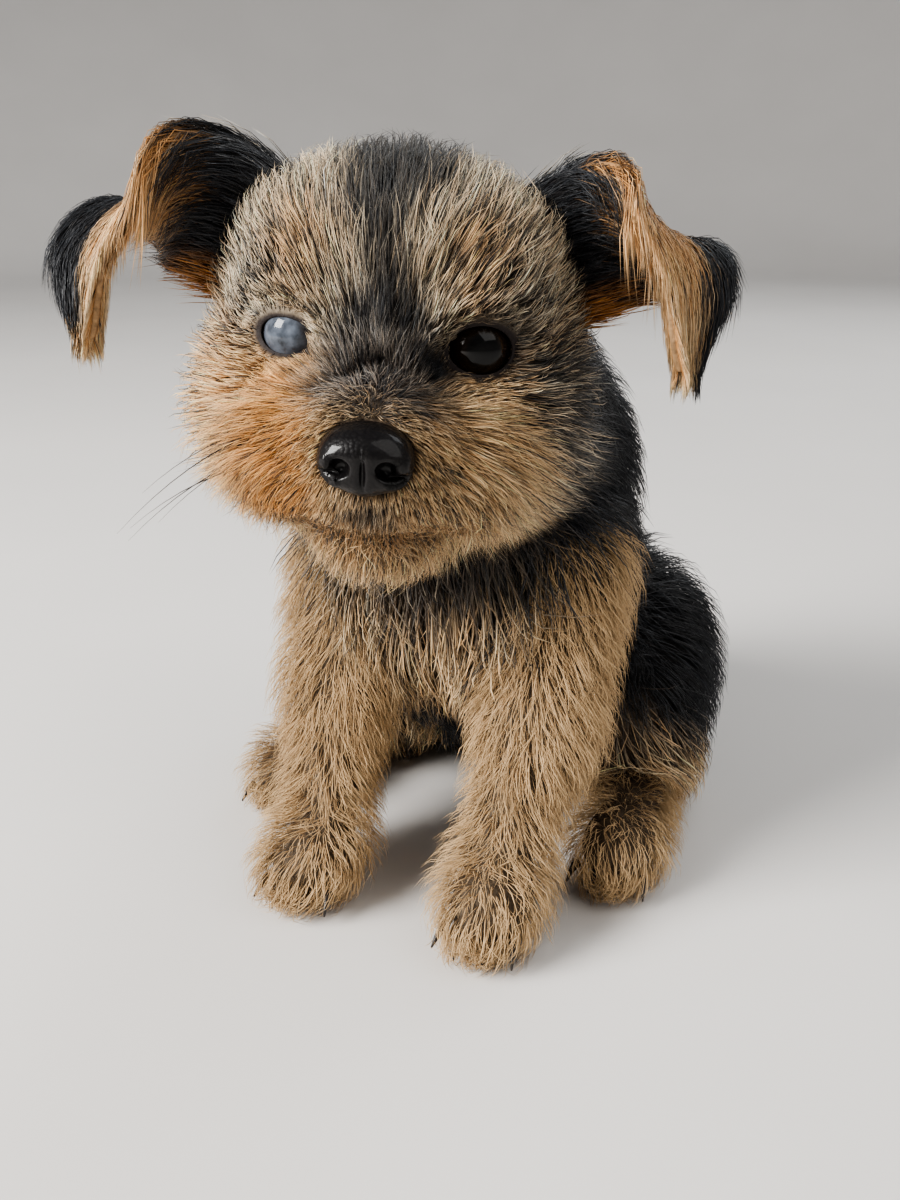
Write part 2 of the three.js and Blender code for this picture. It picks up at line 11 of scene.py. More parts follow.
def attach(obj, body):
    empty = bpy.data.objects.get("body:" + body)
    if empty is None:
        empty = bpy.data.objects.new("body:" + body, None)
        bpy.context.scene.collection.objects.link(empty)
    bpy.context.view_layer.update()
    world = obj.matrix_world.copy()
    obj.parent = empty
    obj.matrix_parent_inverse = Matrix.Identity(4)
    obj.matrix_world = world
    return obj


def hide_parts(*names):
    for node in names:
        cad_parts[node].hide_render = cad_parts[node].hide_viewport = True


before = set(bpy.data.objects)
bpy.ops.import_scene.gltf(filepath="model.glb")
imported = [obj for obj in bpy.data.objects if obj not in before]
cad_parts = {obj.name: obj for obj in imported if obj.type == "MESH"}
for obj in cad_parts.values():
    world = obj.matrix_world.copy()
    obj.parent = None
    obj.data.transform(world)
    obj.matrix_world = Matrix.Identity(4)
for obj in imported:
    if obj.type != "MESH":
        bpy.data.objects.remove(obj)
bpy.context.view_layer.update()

bl_info = {
    "name": "Terrier puppy",
    "version": (1, 0, 0),
    "blender": (4, 5, 0),
    "location": "View3D > Sidebar > Puppy",
    "description": "Builds a sitting Yorkshire terrier puppy with its coat, eyes and nose",
    "category": "Add Mesh",
}

# The body's own measures, in millimetres, as its solids have them
MM = 0.001
HEAD_AT = np.array([-4.0, -62.0, 140.0])
HEAD_TURN = math.radians(20)
HEAD_TILT = math.radians(4)
EYE_RADIUS = 7.6
EYE_AT = np.array([16.8, -19.5, 0.5])
EYE_LOOK = np.array([0.3, -1.0, 0.02]) / np.linalg.norm([0.3, -1.0, 0.02])
NOSE_AT = np.array([0.0, -45.5, -16.5])
MOUTH_HEIGHT = -26.0
SOCKET_OUT = 10.5
LEG_SPREAD = 24.0
RIGHT_FOOT_SPLAY = 6.0
SEAT_BACK = 24.0
SOFT = 5.0
FLESH_DEPTH = 4.5  # the skin lies this far inside the solids' core
SIDES = (("left", 1), ("right", -1))


# Masses: functions of an array of points that give each one's distance from a surface

def egg(centre, radii):
    centre, radii = np.array(centre, float), np.array(radii, float)

    def distance(p):
        q = (p - centre) / radii
        k = np.linalg.norm(q, axis=1)
        slope = np.linalg.norm(q / radii, axis=1)
        return k * (k - 1) / np.maximum(slope, 1e-9)

    return distance


def rod(start, end, start_radius, end_radius):
    start, line = np.array(start, float), np.array(end, float) - np.array(start, float)

    def distance(p):
        t = np.clip((p - start) @ line / (line @ line), 0, 1)
        away = p - start - t[:, None] * line
        return np.linalg.norm(away, axis=1) - (start_radius + (end_radius - start_radius) * t)

    return distance


def blend(softness, *masses):
    def distance(p):
        return -softness * np.log(sum(np.exp(-mass(p) / softness) for mass in masses) + 1e-300)

    return distance


def hollowed(softness, mass, *hollows):
    def distance(p):
        parts = [np.exp(np.minimum(mass(p) / softness, 300))]
        parts += [np.exp(np.minimum(-hollow(p) / softness, 300)) for hollow in hollows]
        return softness * np.log(sum(parts))

    return distance


def smooth(x, low, high):
    t = np.clip((x - low) / (high - low), 0, 1)
    return t * t * (3 - 2 * t)


def mix(a, b, t):
    return a + (b - a) * t


def unit(v):
    return v / np.maximum(np.linalg.norm(v, axis=-1, keepdims=True), 1e-9)


def mirrored(point, s):
    return np.array([s * point[0], point[1], point[2]])


# The head's own frame: x to the puppy's left, -y forwards, z up
turn, tilt = HEAD_TURN, HEAD_TILT
HEAD_AXES = np.array([
    [math.cos(turn), -math.sin(turn), 0],
    [math.sin(turn), math.cos(turn), 0],
    [0, 0, 1],
]) @ np.array([
    [math.cos(tilt), 0, math.sin(tilt)],
    [0, 1, 0],
    [-math.sin(tilt), 0, math.cos(tilt)],
])


def to_head(p):
    return (p - HEAD_AT) @ HEAD_AXES


def from_head(q):
    return q @ HEAD_AXES.T + HEAD_AT


def pair(make):
    return [make(s) for _, s in SIDES]


skull = blend(
    SOFT * 0.7,
    egg([0, 5, 6], [35.5, 34, 27.5]),  # cranium
    egg([0, -9, 11], [28, 20, 18]),  # forehead
    *pair(lambda s: egg([s * 21, -4, -13], [18, 21, 19])),  # cheeks
    *pair(lambda s: egg([s * 13, -20, 11], [10, 7, 6])),  # brows
    *pair(lambda s: egg([s * 18, -18, -10], [9, 8, 6])),  # under the eyes
    rod([0, -15, -14], [0, -32, -17], 18, 12.5),  # muzzle
    *pair(lambda s: egg([s * 12, -25, -20], [15, 16, 13])),  # upper lips
    rod([0, -6, -26], [0, -25, -29], 19, 13.5),  # lower jaw
)


def eye_middle(s):
    return mirrored(EYE_AT, s)


def eye_axis(s):
    return mirrored(EYE_LOOK, s)


def near_eyes(q):
    return np.min([np.linalg.norm(q - eye_middle(s), axis=1) for _, s in SIDES], axis=0)


def near_nose(q):
    return np.linalg.norm(q - NOSE_AT, axis=1)


def kind_of(name):
    return name.split("_")[0]


head_mass = hollowed(
    1.2, skull, *pair(lambda s: egg(eye_middle(s) + SOCKET_OUT * eye_axis(s), [8.8, 8.5, 7.6]))
)

TAIL = np.array([[0, 44, 26], [1, 60, 17], [5, 75, 10], [14, 86, 7.5], [25, 92, 6.5]], float)


def spline(points, t):
    """Points along a Catmull-Rom line, for t from 0 to 1."""
    points = np.asarray(points, float)
    ends = [2 * points[0] - points[1], *points, 2 * points[-1] - points[-2]]
    ends = np.array(ends)
    t = np.clip(np.asarray(t, float), 0, 1) * (len(points) - 1)
    i = np.minimum(t.astype(int), len(points) - 2)
    f = (t - i)[..., None]
    a, b, c, d = ends[i], ends[i + 1], ends[i + 2], ends[i + 3]
    return 0.5 * (2 * b + (c - a) * f + (2 * a - 5 * b + 4 * c - d) * f**2 + (3 * (b - c) + d - a) * f**3)


TAIL_BALLS = 25
TAIL_POINTS = spline(TAIL, np.linspace(0, 1, TAIL_BALLS))
TAIL_RADII = np.linspace(13, 7.5, TAIL_BALLS)


def along_tail(y):
    """How far along the tail a point lies, from 0 at its root to 1."""
    return np.clip((y - 44) / 48, 0, 1)


def tail_mass(p):
    return np.min([np.linalg.norm(p - q, axis=1) - r for q, r in zip(TAIL_POINTS, TAIL_RADII)], axis=0)


def foreleg_mass(s):
    elbow = [s * (LEG_SPREAD + 3), -52, 48]
    return blend(
        SOFT * 0.6,
        rod([s * (LEG_SPREAD + 3), -40, 82], elbow, 17, 14),
        rod(elbow, [s * LEG_SPREAD, -66, 20], 13, 11),
        egg([s * LEG_SPREAD, -74, 11], [13.5, 17, 12]),
    )


def toes_x(s):
    return s * (45 + (RIGHT_FOOT_SPLAY if s < 0 else 0))


def hindfoot_mass(s):
    return blend(
        SOFT * 0.6,
        rod([s * 42, 8, 12], [toes_x(s), -30, 11], 12, 11),
        egg([toes_x(s), -40, 10.5], [13, 15, 11.5]),
    )


MASSES = {
    "head": lambda p: head_mass(to_head(p)),
    "neck": rod([0, -24, 104], [-3, -49, 127], 33, 31),
    "torso": blend(
        SOFT,
        egg([0, -30, 84], [35, 32, 38]),
        egg([0, -19, 104], [31, 27, 23]),
        egg([0, -8, 62], [36, 36, 37]),
        egg([0, 24, 34], [40, 34, 39]),
        egg([0, -46, 88], [21, 16, 24]),
    ),
    "tail": tail_mass,
}
for side, s in SIDES:
    MASSES["foreleg_" + side] = foreleg_mass(s)
    thigh, knee = egg([s * 34, 13, 36], [21, 33, 33]), egg([s * 39, -6, 34], [15, 21, 21])
    MASSES["hindleg_" + side] = blend(SOFT, thigh, knee)
    MASSES["hindfoot_" + side] = hindfoot_mass(s)
PARTS = list(MASSES)
SEAM = 3.0  # softness with which the skin's parts run into one another
body_mass = blend(SEAM, *MASSES.values())


def outwards(mass, p, step=0.4):
    """The unit direction out of a mass at each point."""
    slope = np.empty_like(p)
    for axis in range(3):
        d = np.zeros(3)
        d[axis] = step
        slope[:, axis] = mass(p + d) - mass(p - d)
    return unit(slope)


def part_of(p):
    """The index in PARTS of the part that each point belongs to."""
    return np.argmin([MASSES[name](p) for name in PARTS], axis=0)


def to_metres(p):
    return (p - np.array([0, SEAT_BACK, 0])) * MM


def to_body(p):
    return p / MM + np.array([0, SEAT_BACK, 0])


# The skin

def skin_depth(p):
    """How far the skin lies inside the solids' core: least at the nose, eyes and lips."""
    q = to_head(p)
    lips = np.linalg.norm((q - [0, -40, MOUTH_HEIGHT]) / [14, 12, 5], axis=1)
    near = np.minimum.reduce([smooth(near_nose(q), 8, 22), smooth(near_eyes(q), 9, 19), smooth(lips, 0.8, 2)])
    return mix(0.4, FLESH_DEPTH, near)


def skin_distance(p):
    return body_mass(p) + skin_depth(p)


def balls_of_parts():
    """Centres and radii of the balls that the skin is first put together from."""
    head = [
        ([0, 5, 6], [31, 30, 24]), ([0, -9, 11], [24, 17, 15]), ([0, -24, -16], [16, 14, 14]),
        ([0, -34, -18], [13, 12, 12]), ([0, -16, -28], [15, 15, 13]),
    ]
    head += pair(lambda s: ([s * 21, -4, -13], [14, 17, 15]))
    body = [
        ([0, -26, 106], [30, 30, 30]), ([-2, -42, 120], [29, 29, 29]), ([0, -30, 84], [32, 29, 35]),
        ([0, -19, 104], [28, 24, 20]), ([0, -8, 62], [33, 33, 34]), ([0, 24, 34], [37, 31, 35]),
    ]
    body += [(q, [r - 3] * 3) for q, r in zip(TAIL_POINTS[::3], TAIL_RADII[::3])]
    for _, s in SIDES:
        x = s * (LEG_SPREAD + 3)
        leg = ((-41, 76, 14), (-46, 62, 12), (-52, 48, 11), (-59, 34, 9))
        body += [([x, y, z], [r] * 3) for y, z, r in leg]
        body += [([s * LEG_SPREAD, -66, 20], [9] * 3), ([s * LEG_SPREAD, -74, 11], [10.5, 14, 10])]
        body += [([s * 34, 13, 36], [18, 30, 30]), ([s * 39, -6, 34], [12, 18, 18])]
        body += [([mix(s * 42, toes_x(s), t), mix(8, -40, t), 11], [9] * 3) for t in (0, 0.33, 0.66, 1)]
    return [(from_head(np.array(c, float)), r, True) for c, r in head] + [(c, r, False) for c, r in body]


def deselect():
    bpy.ops.object.select_all(action="DESELECT")


def joined(pieces, name):
    """Joins pieces into one, with its faces outwards."""
    for piece in pieces:
        piece.select_set(True)
    bpy.ops.object.join()
    whole = bpy.context.object
    whole.name = whole.data.name = name
    recalculate(whole)
    bpy.ops.object.shade_smooth()
    return whole


def cut_up(cuts):
    """Subdivides the whole of the newest piece."""
    bpy.ops.object.mode_set(mode="EDIT")
    bpy.ops.mesh.select_all(action="SELECT")
    bpy.ops.mesh.subdivide(number_cuts=cuts)
    bpy.ops.object.mode_set(mode="OBJECT")


def recalculate(piece):
    bpy.context.view_layer.objects.active = piece
    bpy.ops.object.mode_set(mode="EDIT")
    bpy.ops.mesh.select_all(action="SELECT")
    bpy.ops.mesh.normals_make_consistent(inside=False)
    bpy.ops.object.mode_set(mode="OBJECT")


def apply_modifiers(piece):
    bpy.context.view_layer.objects.active = piece
    for modifier in list(piece.modifiers):
        bpy.ops.object.modifier_apply(modifier=modifier.name)


def corners(mesh):
    co = np.empty(len(mesh.vertices) * 3)
    mesh.vertices.foreach_get("co", co)
    return co.reshape(-1, 3)


def set_corners(mesh, co):
    mesh.vertices.foreach_set("co", np.ascontiguousarray(co, float).ravel())
    mesh.update()


def settle(p, distance, rounds):
    """Moves points along the slope of a distance until it is zero there."""
    for _ in range(rounds):
        p = p - outwards(distance, p) * np.clip(distance(p), -4, 4)[:, None]
    return p


def make_skin(voxel):
    deselect()
    balls = []
    head_turned = Matrix(HEAD_AXES.tolist()).to_euler()
    for centre, radii, in_head in balls_of_parts():
        bpy.ops.mesh.primitive_ico_sphere_add(
            subdivisions=4,
            radius=1,
            location=to_metres(np.array(centre, float)),
            rotation=head_turned if in_head else (0, 0, 0),
            scale=[r * MM for r in radii],
        )
        bpy.ops.object.transform_apply(location=True, rotation=True, scale=True)
        balls.append(bpy.context.object)
    for ball in balls:
        ball.select_set(True)
    bpy.ops.object.join()
    skin = bpy.context.object
    skin.name = skin.data.name = "skin"
    remesh = skin.modifiers.new("even", "REMESH")
    remesh.mode = "VOXEL"
    remesh.voxel_size = voxel * MM
    apply_modifiers(skin)
    p = settle(to_body(corners(skin.data)), skin_distance, 8)
    p[:, 2] = np.maximum(p[:, 2], 0.3)
    set_corners(skin.data, to_metres(p))
    bpy.ops.object.shade_smooth()
    return skin


# Ears: cupped leaves close to the solids' own, u across and v from root to tip

EAR_LINES = {
    "left": np.array([[26, 5, 9], [40, 5, 18], [51, 1, 24], [58, -7, 15], [59, -11, -3]], float),
    "right": np.array([[26, 5, 9], [40, 5, 18], [53, 2, 22], [63, -5, 11], [62, -10, -6]], float),
}
EAR_HALF_WIDTH = 16.0
EAR_LENGTH = 62.0


def ear_frame(side, u, v, lift=0.0):
    """Points of an ear in body millimetres, with its directions along, across and out of its back."""
    u, v = np.broadcast_arrays(np.asarray(u, float), np.asarray(v, float))
    line = EAR_LINES[side]
    along = unit(spline(line, v + 0.01) - spline(line, v - 0.01))
    outer = smooth(v, 0.2, 0.7)[..., None]
    across = mix(np.array([0.55, 0.3, -0.78]), np.array([0.76, 0.6, -0.27]), outer)
    across = unit(across - along * np.sum(across * along, axis=-1, keepdims=True))
    face = unit(np.cross(along, across))
    width = EAR_HALF_WIDTH * np.power(np.sin(np.pi * (0.3 + 0.68 * v)), 0.75)
    cup = mix(7, 2, smooth(v, 0.2, 0.6))
    p = spline(line, v) + across * (u * width)[..., None] + face * (cup * (u * u - 0.3) + lift)[..., None]
    flip = np.array([1 if side == "left" else -1, 1, 1])
    turned = [(w * flip) @ HEAD_AXES.T for w in (along, across, face)]
    return (from_head(p * flip), *turned)


def make_ear(side):
    deselect()
    columns, rows = 22, 30
    bpy.ops.mesh.primitive_grid_add(x_subdivisions=columns, y_subdivisions=rows, size=2)
    ear = bpy.context.object
    ear.name = ear.data.name = "ear_skin_" + side
    co = corners(ear.data)
    v = (co[:, 1] + 1) / 2
    set_corners(ear.data, to_metres(ear_frame(side, co[:, 0], v)[0]))
    write_colours(ear, mix(*ear_markings(side, co[:, 0], v, 1.0, 0.0), 0.4))
    wall = ear.modifiers.new("wall", "SOLIDIFY")
    wall.thickness = 1.6 * MM
    wall.offset = 0
    rounder = ear.modifiers.new("rounder", "SUBSURF")
    rounder.levels = rounder.render_levels = 1
    apply_modifiers(ear)
    recalculate(ear)
    bpy.ops.object.shade_smooth()
    return ear


# Eyes, lids, nose and lips

def make_eye(side, s):
    deselect()
    bpy.ops.mesh.primitive_uv_sphere_add(segments=64, ring_count=40, radius=EYE_RADIUS)
    eye = bpy.context.object
    eye.name = eye.data.name = "eyeball_" + side
    co = corners(eye.data)
    axis = eye_axis(s)
    ahead = unit(co) @ axis
    bulge = 1 + 0.07 * smooth(ahead, 0.72, 0.98)
    set_corners(eye.data, to_metres(from_head(co * bulge[:, None] + eye_middle(s))))
    bpy.ops.object.shade_smooth()
    return eye


# Half the width and height of each eye's opening, seen from the eyeball's middle
LID_OPENINGS = {1: (math.radians(51), math.radians(33)), -1: (math.radians(42), math.radians(24))}
LID_BACK = math.radians(84)
LID_RING = 0.25  # thickness of the ring that each lid starts as


def eye_directions(s):
    axis = eye_axis(s)
    side = unit(np.cross([0, 0, 1], axis))
    return axis, side, np.cross(axis, side)


def make_lids():
    deselect()
    made = []
    for _, s in SIDES:
        bpy.ops.mesh.primitive_torus_add(
            major_segments=96, minor_segments=28, major_radius=1, minor_radius=LID_RING
        )
        lid = bpy.context.object
        co = corners(lid.data)
        around = np.arctan2(co[:, 1], co[:, 0])
        back = ((np.hypot(co[:, 0], co[:, 1]) - 1) / LID_RING + 1) / 2
        over = co[:, 2] / LID_RING
        axis, side, up = eye_directions(s)
        c, d = np.cos(around), np.sin(around)
        wide, high = LID_OPENINGS[s]
        edge = 1 / np.hypot(c / wide, d / (high * mix(1, 1.05, d > 0)))
        angle = mix(edge, LID_BACK, back)[:, None]
        rim = np.outer(c, side) + np.outer(d, up)
        thick = mix(0.62, 0.8, smooth(d, 0, 0.8)) * (1 - 0.3 * back)
        radius = EYE_RADIUS + 0.5 + 0.8 * smooth(back, 0, 0.3) + thick * over
        p = eye_middle(s) + (axis * np.cos(angle) + rim * np.sin(angle)) * radius[:, None]
        set_corners(lid.data, to_metres(from_head(p)))
        made.append(lid)
    return joined(made, "lids")


def nose_mass(q):
    x, y, z = NOSE_AT
    leather = blend(
        1.2,
        egg([x, y, z + 1.5], [7.6, 6.4, 5]),
        *pair(lambda s: egg([s * 4.9, y - 1.4, z - 0.8], [3.4, 4.4, 4])),
        egg([x, y - 1, z - 3.4], [4, 4.2, 3]),
    )
    nostrils = pair(lambda s: egg([s * 4.2, y - 6.2, z - 0.8], [1.9, 3.2, 1.7]))
    slits = pair(lambda s: egg([s * 6.6, y - 4.6, z - 2.2], [2.4, 2.4, 0.7]))
    groove = egg([x, y - 6.6, z - 4.2], [0.45, 1.6, 5])
    return hollowed(0.35, leather, *nostrils, *slits, groove)(q)


def make_nose():
    deselect()
    bpy.ops.mesh.primitive_ico_sphere_add(subdivisions=7, radius=6)
    nose = bpy.context.object
    nose.name = nose.data.name = "nose_leather"
    q = settle(corners(nose.data) * [1.2, 1, 0.95] + NOSE_AT, nose_mass, 10)
    set_corners(nose.data, to_metres(from_head(q)))
    bpy.ops.object.shade_smooth()
    return nose


def mouth_line(height, steps):
    """Points of the mouth's line on the skin, from corner to corner, in the head's frame."""
    angle = np.radians(np.linspace(-56, 56, steps))
    z = MOUTH_HEIGHT + height - 1.5 * np.abs(np.sin(2 * angle)) + 3 * (angle / math.radians(56)) ** 2
    q = np.stack([26 * np.sin(angle), -22 - 24 * np.cos(angle), z], axis=1)
    p = from_head(q)
    slope_off = np.array([1, 1, 0])
    for _ in range(8):
        n = unit((outwards(skin_distance, p) @ HEAD_AXES) * slope_off) @ HEAD_AXES.T
        p = p - n * np.clip(skin_distance(p), -3, 3)[:, None]
    return to_head(p)


def make_lips():
    deselect()
    steps = 60
    made = []
    for height, radius in ((0.75, 0.95), (-0.75, 0.85)):
        bpy.ops.mesh.primitive_uv_sphere_add(segments=14, ring_count=steps + 1, radius=1)
        lip = bpy.context.object
        co = corners(lip.data)
        t = np.clip(np.arccos(np.clip(co[:, 2], -1, 1)) / math.pi, 0, 1)
        line = mouth_line(height, steps)
        middle = spline(line, t)
        along = unit(spline(line, t + 0.01) - spline(line, t - 0.01))
        up = np.array([0, 0, 1]) - along * along[:, 2:3]
        front = np.cross(along, unit(up))
        ring = unit(co[:, :2]) * smooth(np.hypot(co[:, 0], co[:, 1]), 0, 0.35)[:, None] * radius
        set_corners(lip.data, to_metres(from_head(middle + unit(up) * ring[:, 1:2] + front * ring[:, 0:1])))
        made.append(lip)
    return joined(made, "lips")


# Markings: what colour the coat is at its roots and tips, in linear light

INK = np.array([0.009, 0.010, 0.013])
SLATE = np.array([0.11, 0.12, 0.14])
CREAM = np.array([0.80, 0.68, 0.50])
GOLD = np.array([0.72, 0.43, 0.16])
ORANGE = np.array([0.68, 0.29, 0.06])
UMBER = np.array([0.10, 0.055, 0.025])


def ripple(p, size):
    """A soft random field from -1 to 1 that breaks up the edges of the markings."""
    a = np.sin(p @ [0.9, 0.4, 0.7] * 6.3 / size) + np.sin(p @ [-0.5, 0.8, 0.6] * 5.1 / size + 1.3)
    b = np.sin(p @ [0.3, -0.9, 0.5] * 8.9 / size + 0.7) + np.sin(p @ [0.7, 0.6, -0.8] * 7.7 / size + 2.1)
    return (a + b) / 4


def paint(colours, colour, mask):
    return mix(colours, colour, np.clip(mask, 0, 1)[:, None])


def head_markings(q, jitter):
    """Root and tip colours at points of the head's own frame, and the share of dark hairs there."""
    x, y, z = q.T
    r = ripple(q, 14) + jitter
    side = np.abs(x)
    from_nose = near_nose(q)
    front = smooth(-y, 4, 16)
    tip = np.tile(mix(CREAM, GOLD, 0.12), (len(q), 1))
    root = np.tile(mix(SLATE, UMBER, 0.5) * 0.45, (len(q), 1))
    share = np.full(len(q), 0.24)
    muzzle = smooth(-z + 0.15 * side, -1, 9) * front
    tip = paint(tip, mix(GOLD, CREAM, 0.42), muzzle)
    root = paint(root, mix(UMBER, ORANGE, 0.2), muzzle)
    share = mix(share, 0.2, muzzle)
    ginger = muzzle * smooth(-x, 4, 12) * smooth(-z, 2, 9) * (1 - smooth(-z, 23, 30))
    tip = paint(tip, mix(ORANGE, GOLD, 0.3), 0.72 * ginger * (1 - 0.85 * smooth(-x, 13, 25)))
    root = paint(root, mix(UMBER, ORANGE, 0.6), ginger)
    cheek = np.exp(-((side - 31) / 7) ** 2 - ((z + 6) / 11) ** 2) * smooth(-x, -10, 20)
    tip = paint(tip, mix(ORANGE, CREAM, 0.65), 0.35 * cheek)
    brow = np.exp(-((side - 14) / 6.5) ** 2 - ((z - 12) / 5.5) ** 2) * smooth(-y, 5, 12)
    tip = paint(tip, mix(ORANGE, GOLD, 0.5), 0.7 * brow)
    stripe = 1 - smooth(side + 2.5 * r, *(mix(1.0, 9, smooth(z, 10, 32)) + np.array([[0], [7]])))
    stripe = stripe * smooth(z, -6, 4)
    bridge = (1 - smooth(side + 2.5 * r, 5, 11)) * smooth(z, -13.5, -8) * (1 - smooth(z, 2, 8))
    crown = smooth(z + 0.9 * y + 0.25 * x + 5 * r, 25, 36)
    nape = smooth(y + 4 * r, -3, 8)
    temples = smooth(y + 0.25 * side + 3 * r, -1, 8) * (1 - smooth(z, 16, 26))
    jowls = smooth(y + 0.5 * side + 4 * r, 1, 10) * (1 - smooth(z + 2 * r, -7, 1))
    sides = np.maximum(temples, 0.93 * jowls)
    left_jowl = smooth(x + 3 * r, 20, 28) * smooth(-z + 2 * r, -3, 4)
    rims = np.where(x > 0, 0.7, 0.1) * (1 - smooth(near_eyes(q), 8.1, 9.6))
    tear = 1.3 * np.exp(-((x - 8.5) / 4.6) ** 2 - ((z + 4) / 4.2) ** 2) * smooth(-y, 10, 16)
    tear = tear + 0.35 * np.exp(-((x + 9) / 3.0) ** 2 - ((z + 3) / 3.0) ** 2) * smooth(-y, 10, 16)
    # Painted shade: the coat under the chin, below the muzzle, is turned black where shade falls
    painted_shade_under_chin = smooth(-z + 2 * r, 36.5, 40.5)
    philtrum = 0.8 * np.exp(-(x / 5) ** 2 - ((z + 25.5) / 3.2) ** 2) * smooth(-y, 26, 32)
    dark = np.maximum.reduce([0.93 * stripe, crown, nape, sides, rims, 0.95 * tear, 0.95 * painted_shade_under_chin, philtrum])
    tip = paint(tip, mix(CREAM, SLATE, 0.3), 0.8 * left_jowl)
    root = paint(root, INK, left_jowl)
    tip = paint(tip, mix(SLATE, CREAM, 0.1), 0.85 * bridge)
    tip = paint(tip, INK, dark)
    root = paint(root, INK, np.maximum(dark, 0.8 * bridge))
    share = np.maximum.reduce([share, 0.45 * bridge, 0.72 * left_jowl, 0.5 * smooth(z, 22, 30)])
    chin = (1 - smooth(side, 10, 17)) * smooth(-z, 27, 30) * (1 - smooth(-z, 36.5, 40)) * smooth(-y, 18, 26)
    tip = paint(tip, mix(GOLD, CREAM, 0.45), 0.9 * chin)
    rim = 1 - smooth(from_nose, 9, 12)
    tip = paint(tip, mix(GOLD, CREAM, 0.3), 0.6 * rim * smooth(z, -22, -18))
    return paint(root, INK, 0.6 * rim), tip, share


# How far across each ear's back the tan reaches, from -1 at the inner edge to 1
TAN_EDGES = {"left": 0.25, "right": -0.2}


def ear_markings(side, u, v, outer, jitter):
    """Root and tip colours of an ear: a tan inner edge, the rest black, orange low inside."""
    r = jitter + 0.3 * np.sin(9 * v + 4 * u)
    edge = TAN_EDGES[side]
    tan = (1 - smooth(u + 0.4 * r, edge, edge + 0.4)) * smooth(v + 0.08 * r, 0.3, 0.42)
    tan = mix(smooth(v + 0.1 * r, 0.26, 0.36), tan, outer)
    if side == "right":
        tan = np.maximum(tan, 0.8 * smooth(v + 0.1 * r, 0.84, 0.93))
    inside = (1 - outer) * (1 - smooth(v, 0.12, 0.28)) * smooth(u, 0.2, 0.6)
    tip = np.tile(mix(INK, SLATE, 0.12), (len(u), 1))
    root = np.tile(INK, (len(u), 1))
    tip = paint(tip, mix(GOLD, CREAM, 0.55), tan)
    tip = paint(tip, ORANGE, np.maximum(0.8 * inside, 0.35 * tan * (1 - smooth(v, 0.5, 0.8))))
    return paint(root, mix(ORANGE, UMBER, 0.5), np.maximum(tan, inside)), tip


DARK_SHARES = {"neck": 0.3, "torso": 0.1, "tail": 0.1, "foreleg": 0.12, "hindleg": 0.14, "hindfoot": 0.1}


def body_markings(name, p, jitter):
    """Root and tip colours of the body's parts: black above and behind, tan below and in front."""
    x, y, z = p.T
    r = ripple(p, 30) + jitter
    side = np.abs(x)
    kind = kind_of(name)
    # Painted shade: the tan close under the head is turned black, more on the puppy's left, away from the
    # window light
    painted_shade_under_head = (1 - smooth(MASSES["head"](p) + 3 * r, 5, 14)) * mix(0.55, 0.9, smooth(x, -22, 4))
    if kind == "neck":
        tan = smooth(-y + 5 * r - 0.35 * side, 44, 56) * 0.85 * (1 - painted_shade_under_head)
    elif kind == "torso":
        tan = smooth(-y + 5 * r - 0.3 * side, 42, 54) * 0.85 * (1 - painted_shade_under_head)
        tan = np.maximum(tan, (1 - smooth(z + 4 * r, 8, 20)) * smooth(-y, -30, -10))
    elif kind == "foreleg":
        outer_top = smooth(side + 4 * r, 34, 40) * smooth(z + 4 * r, 52, 62)
        back = smooth(y + 3 * r, -46, -38) * smooth(z, 30, 50)
        tan = 1 - np.maximum(0.95 * outer_top, 0.9 * back)
    elif kind == "hindleg":
        tan = 1 - smooth(z + 0.6 * y + 6 * r, 22, 36)
    elif kind == "tail":
        centre = spline(TAIL, along_tail(y))
        tan = (1 - smooth(z - centre[:, 2] + 2 * r, -7, -1)) * 0.8
    else:
        tan = np.ones(len(p))
    tip = paint(np.tile(mix(INK, SLATE, 0.06), (len(p), 1)), mix(GOLD, CREAM, 0.45), tan)
    root = paint(np.tile(INK, (len(p), 1)), mix(UMBER, SLATE, 0.45) * 0.8, tan)
    return root, tip, np.full(len(p), DARK_SHARES[kind])


def markings(name, p, jitter):
    if name == "head":
        return head_markings(to_head(p), jitter)
    return body_markings(name, p, jitter)


def colour_skin(piece, darker):
    """Gives a skin the markings of the coat above it."""
    p = to_body(corners(piece.data))
    colours = np.ones((len(p), 3))
    part = part_of(p)
    for index, name in enumerate(PARTS):
        chosen = part == index
        root, tip, _ = markings(name, p[chosen], np.zeros(chosen.sum()))
        colours[chosen] = mix(root, tip, 0.35) * darker
    write_colours(piece, colours)


def write_colours(piece, colours):
    opaque = np.ones((len(colours), 4))
    opaque[:, :3] = colours
    layer = piece.data.color_attributes.new("markings", "FLOAT_COLOR", "POINT")
    layer.data.foreach_set("color", opaque.ravel())


# The lie, length, reach and width of the coat, in millimetres

REACHES = {"neck": 7, "torso": 6.5, "foreleg": 5, "hindleg": 6, "hindfoot": 4.5, "tail": 5.5}
LENGTHS = {"neck": 21, "torso": 23, "foreleg": 12, "hindleg": 18, "hindfoot": 9, "tail": 16}
WIDTHS = {"neck": 0.42, "torso": 0.55, "foreleg": 0.28, "hindleg": 0.4, "hindfoot": 0.26, "tail": 0.5}


def head_lie(q):
    lie = unit(q - [0, -38, -14])
    lie[:, 2] -= 0.3 * smooth(-q[:, 2], -5, 15)
    lie = mix(lie, np.array([0, 0.3, -1]), smooth(q[:, 1], 2, 30)[:, None])
    for _, s in SIDES:
        off = q - eye_middle(s)
        close = 1 - smooth(np.linalg.norm(off, axis=1), 8.5, 14)
        off -= np.outer(off @ eye_axis(s), eye_axis(s))
        lie += 1.1 * close[:, None] * unit(off)
    return unit(lie)


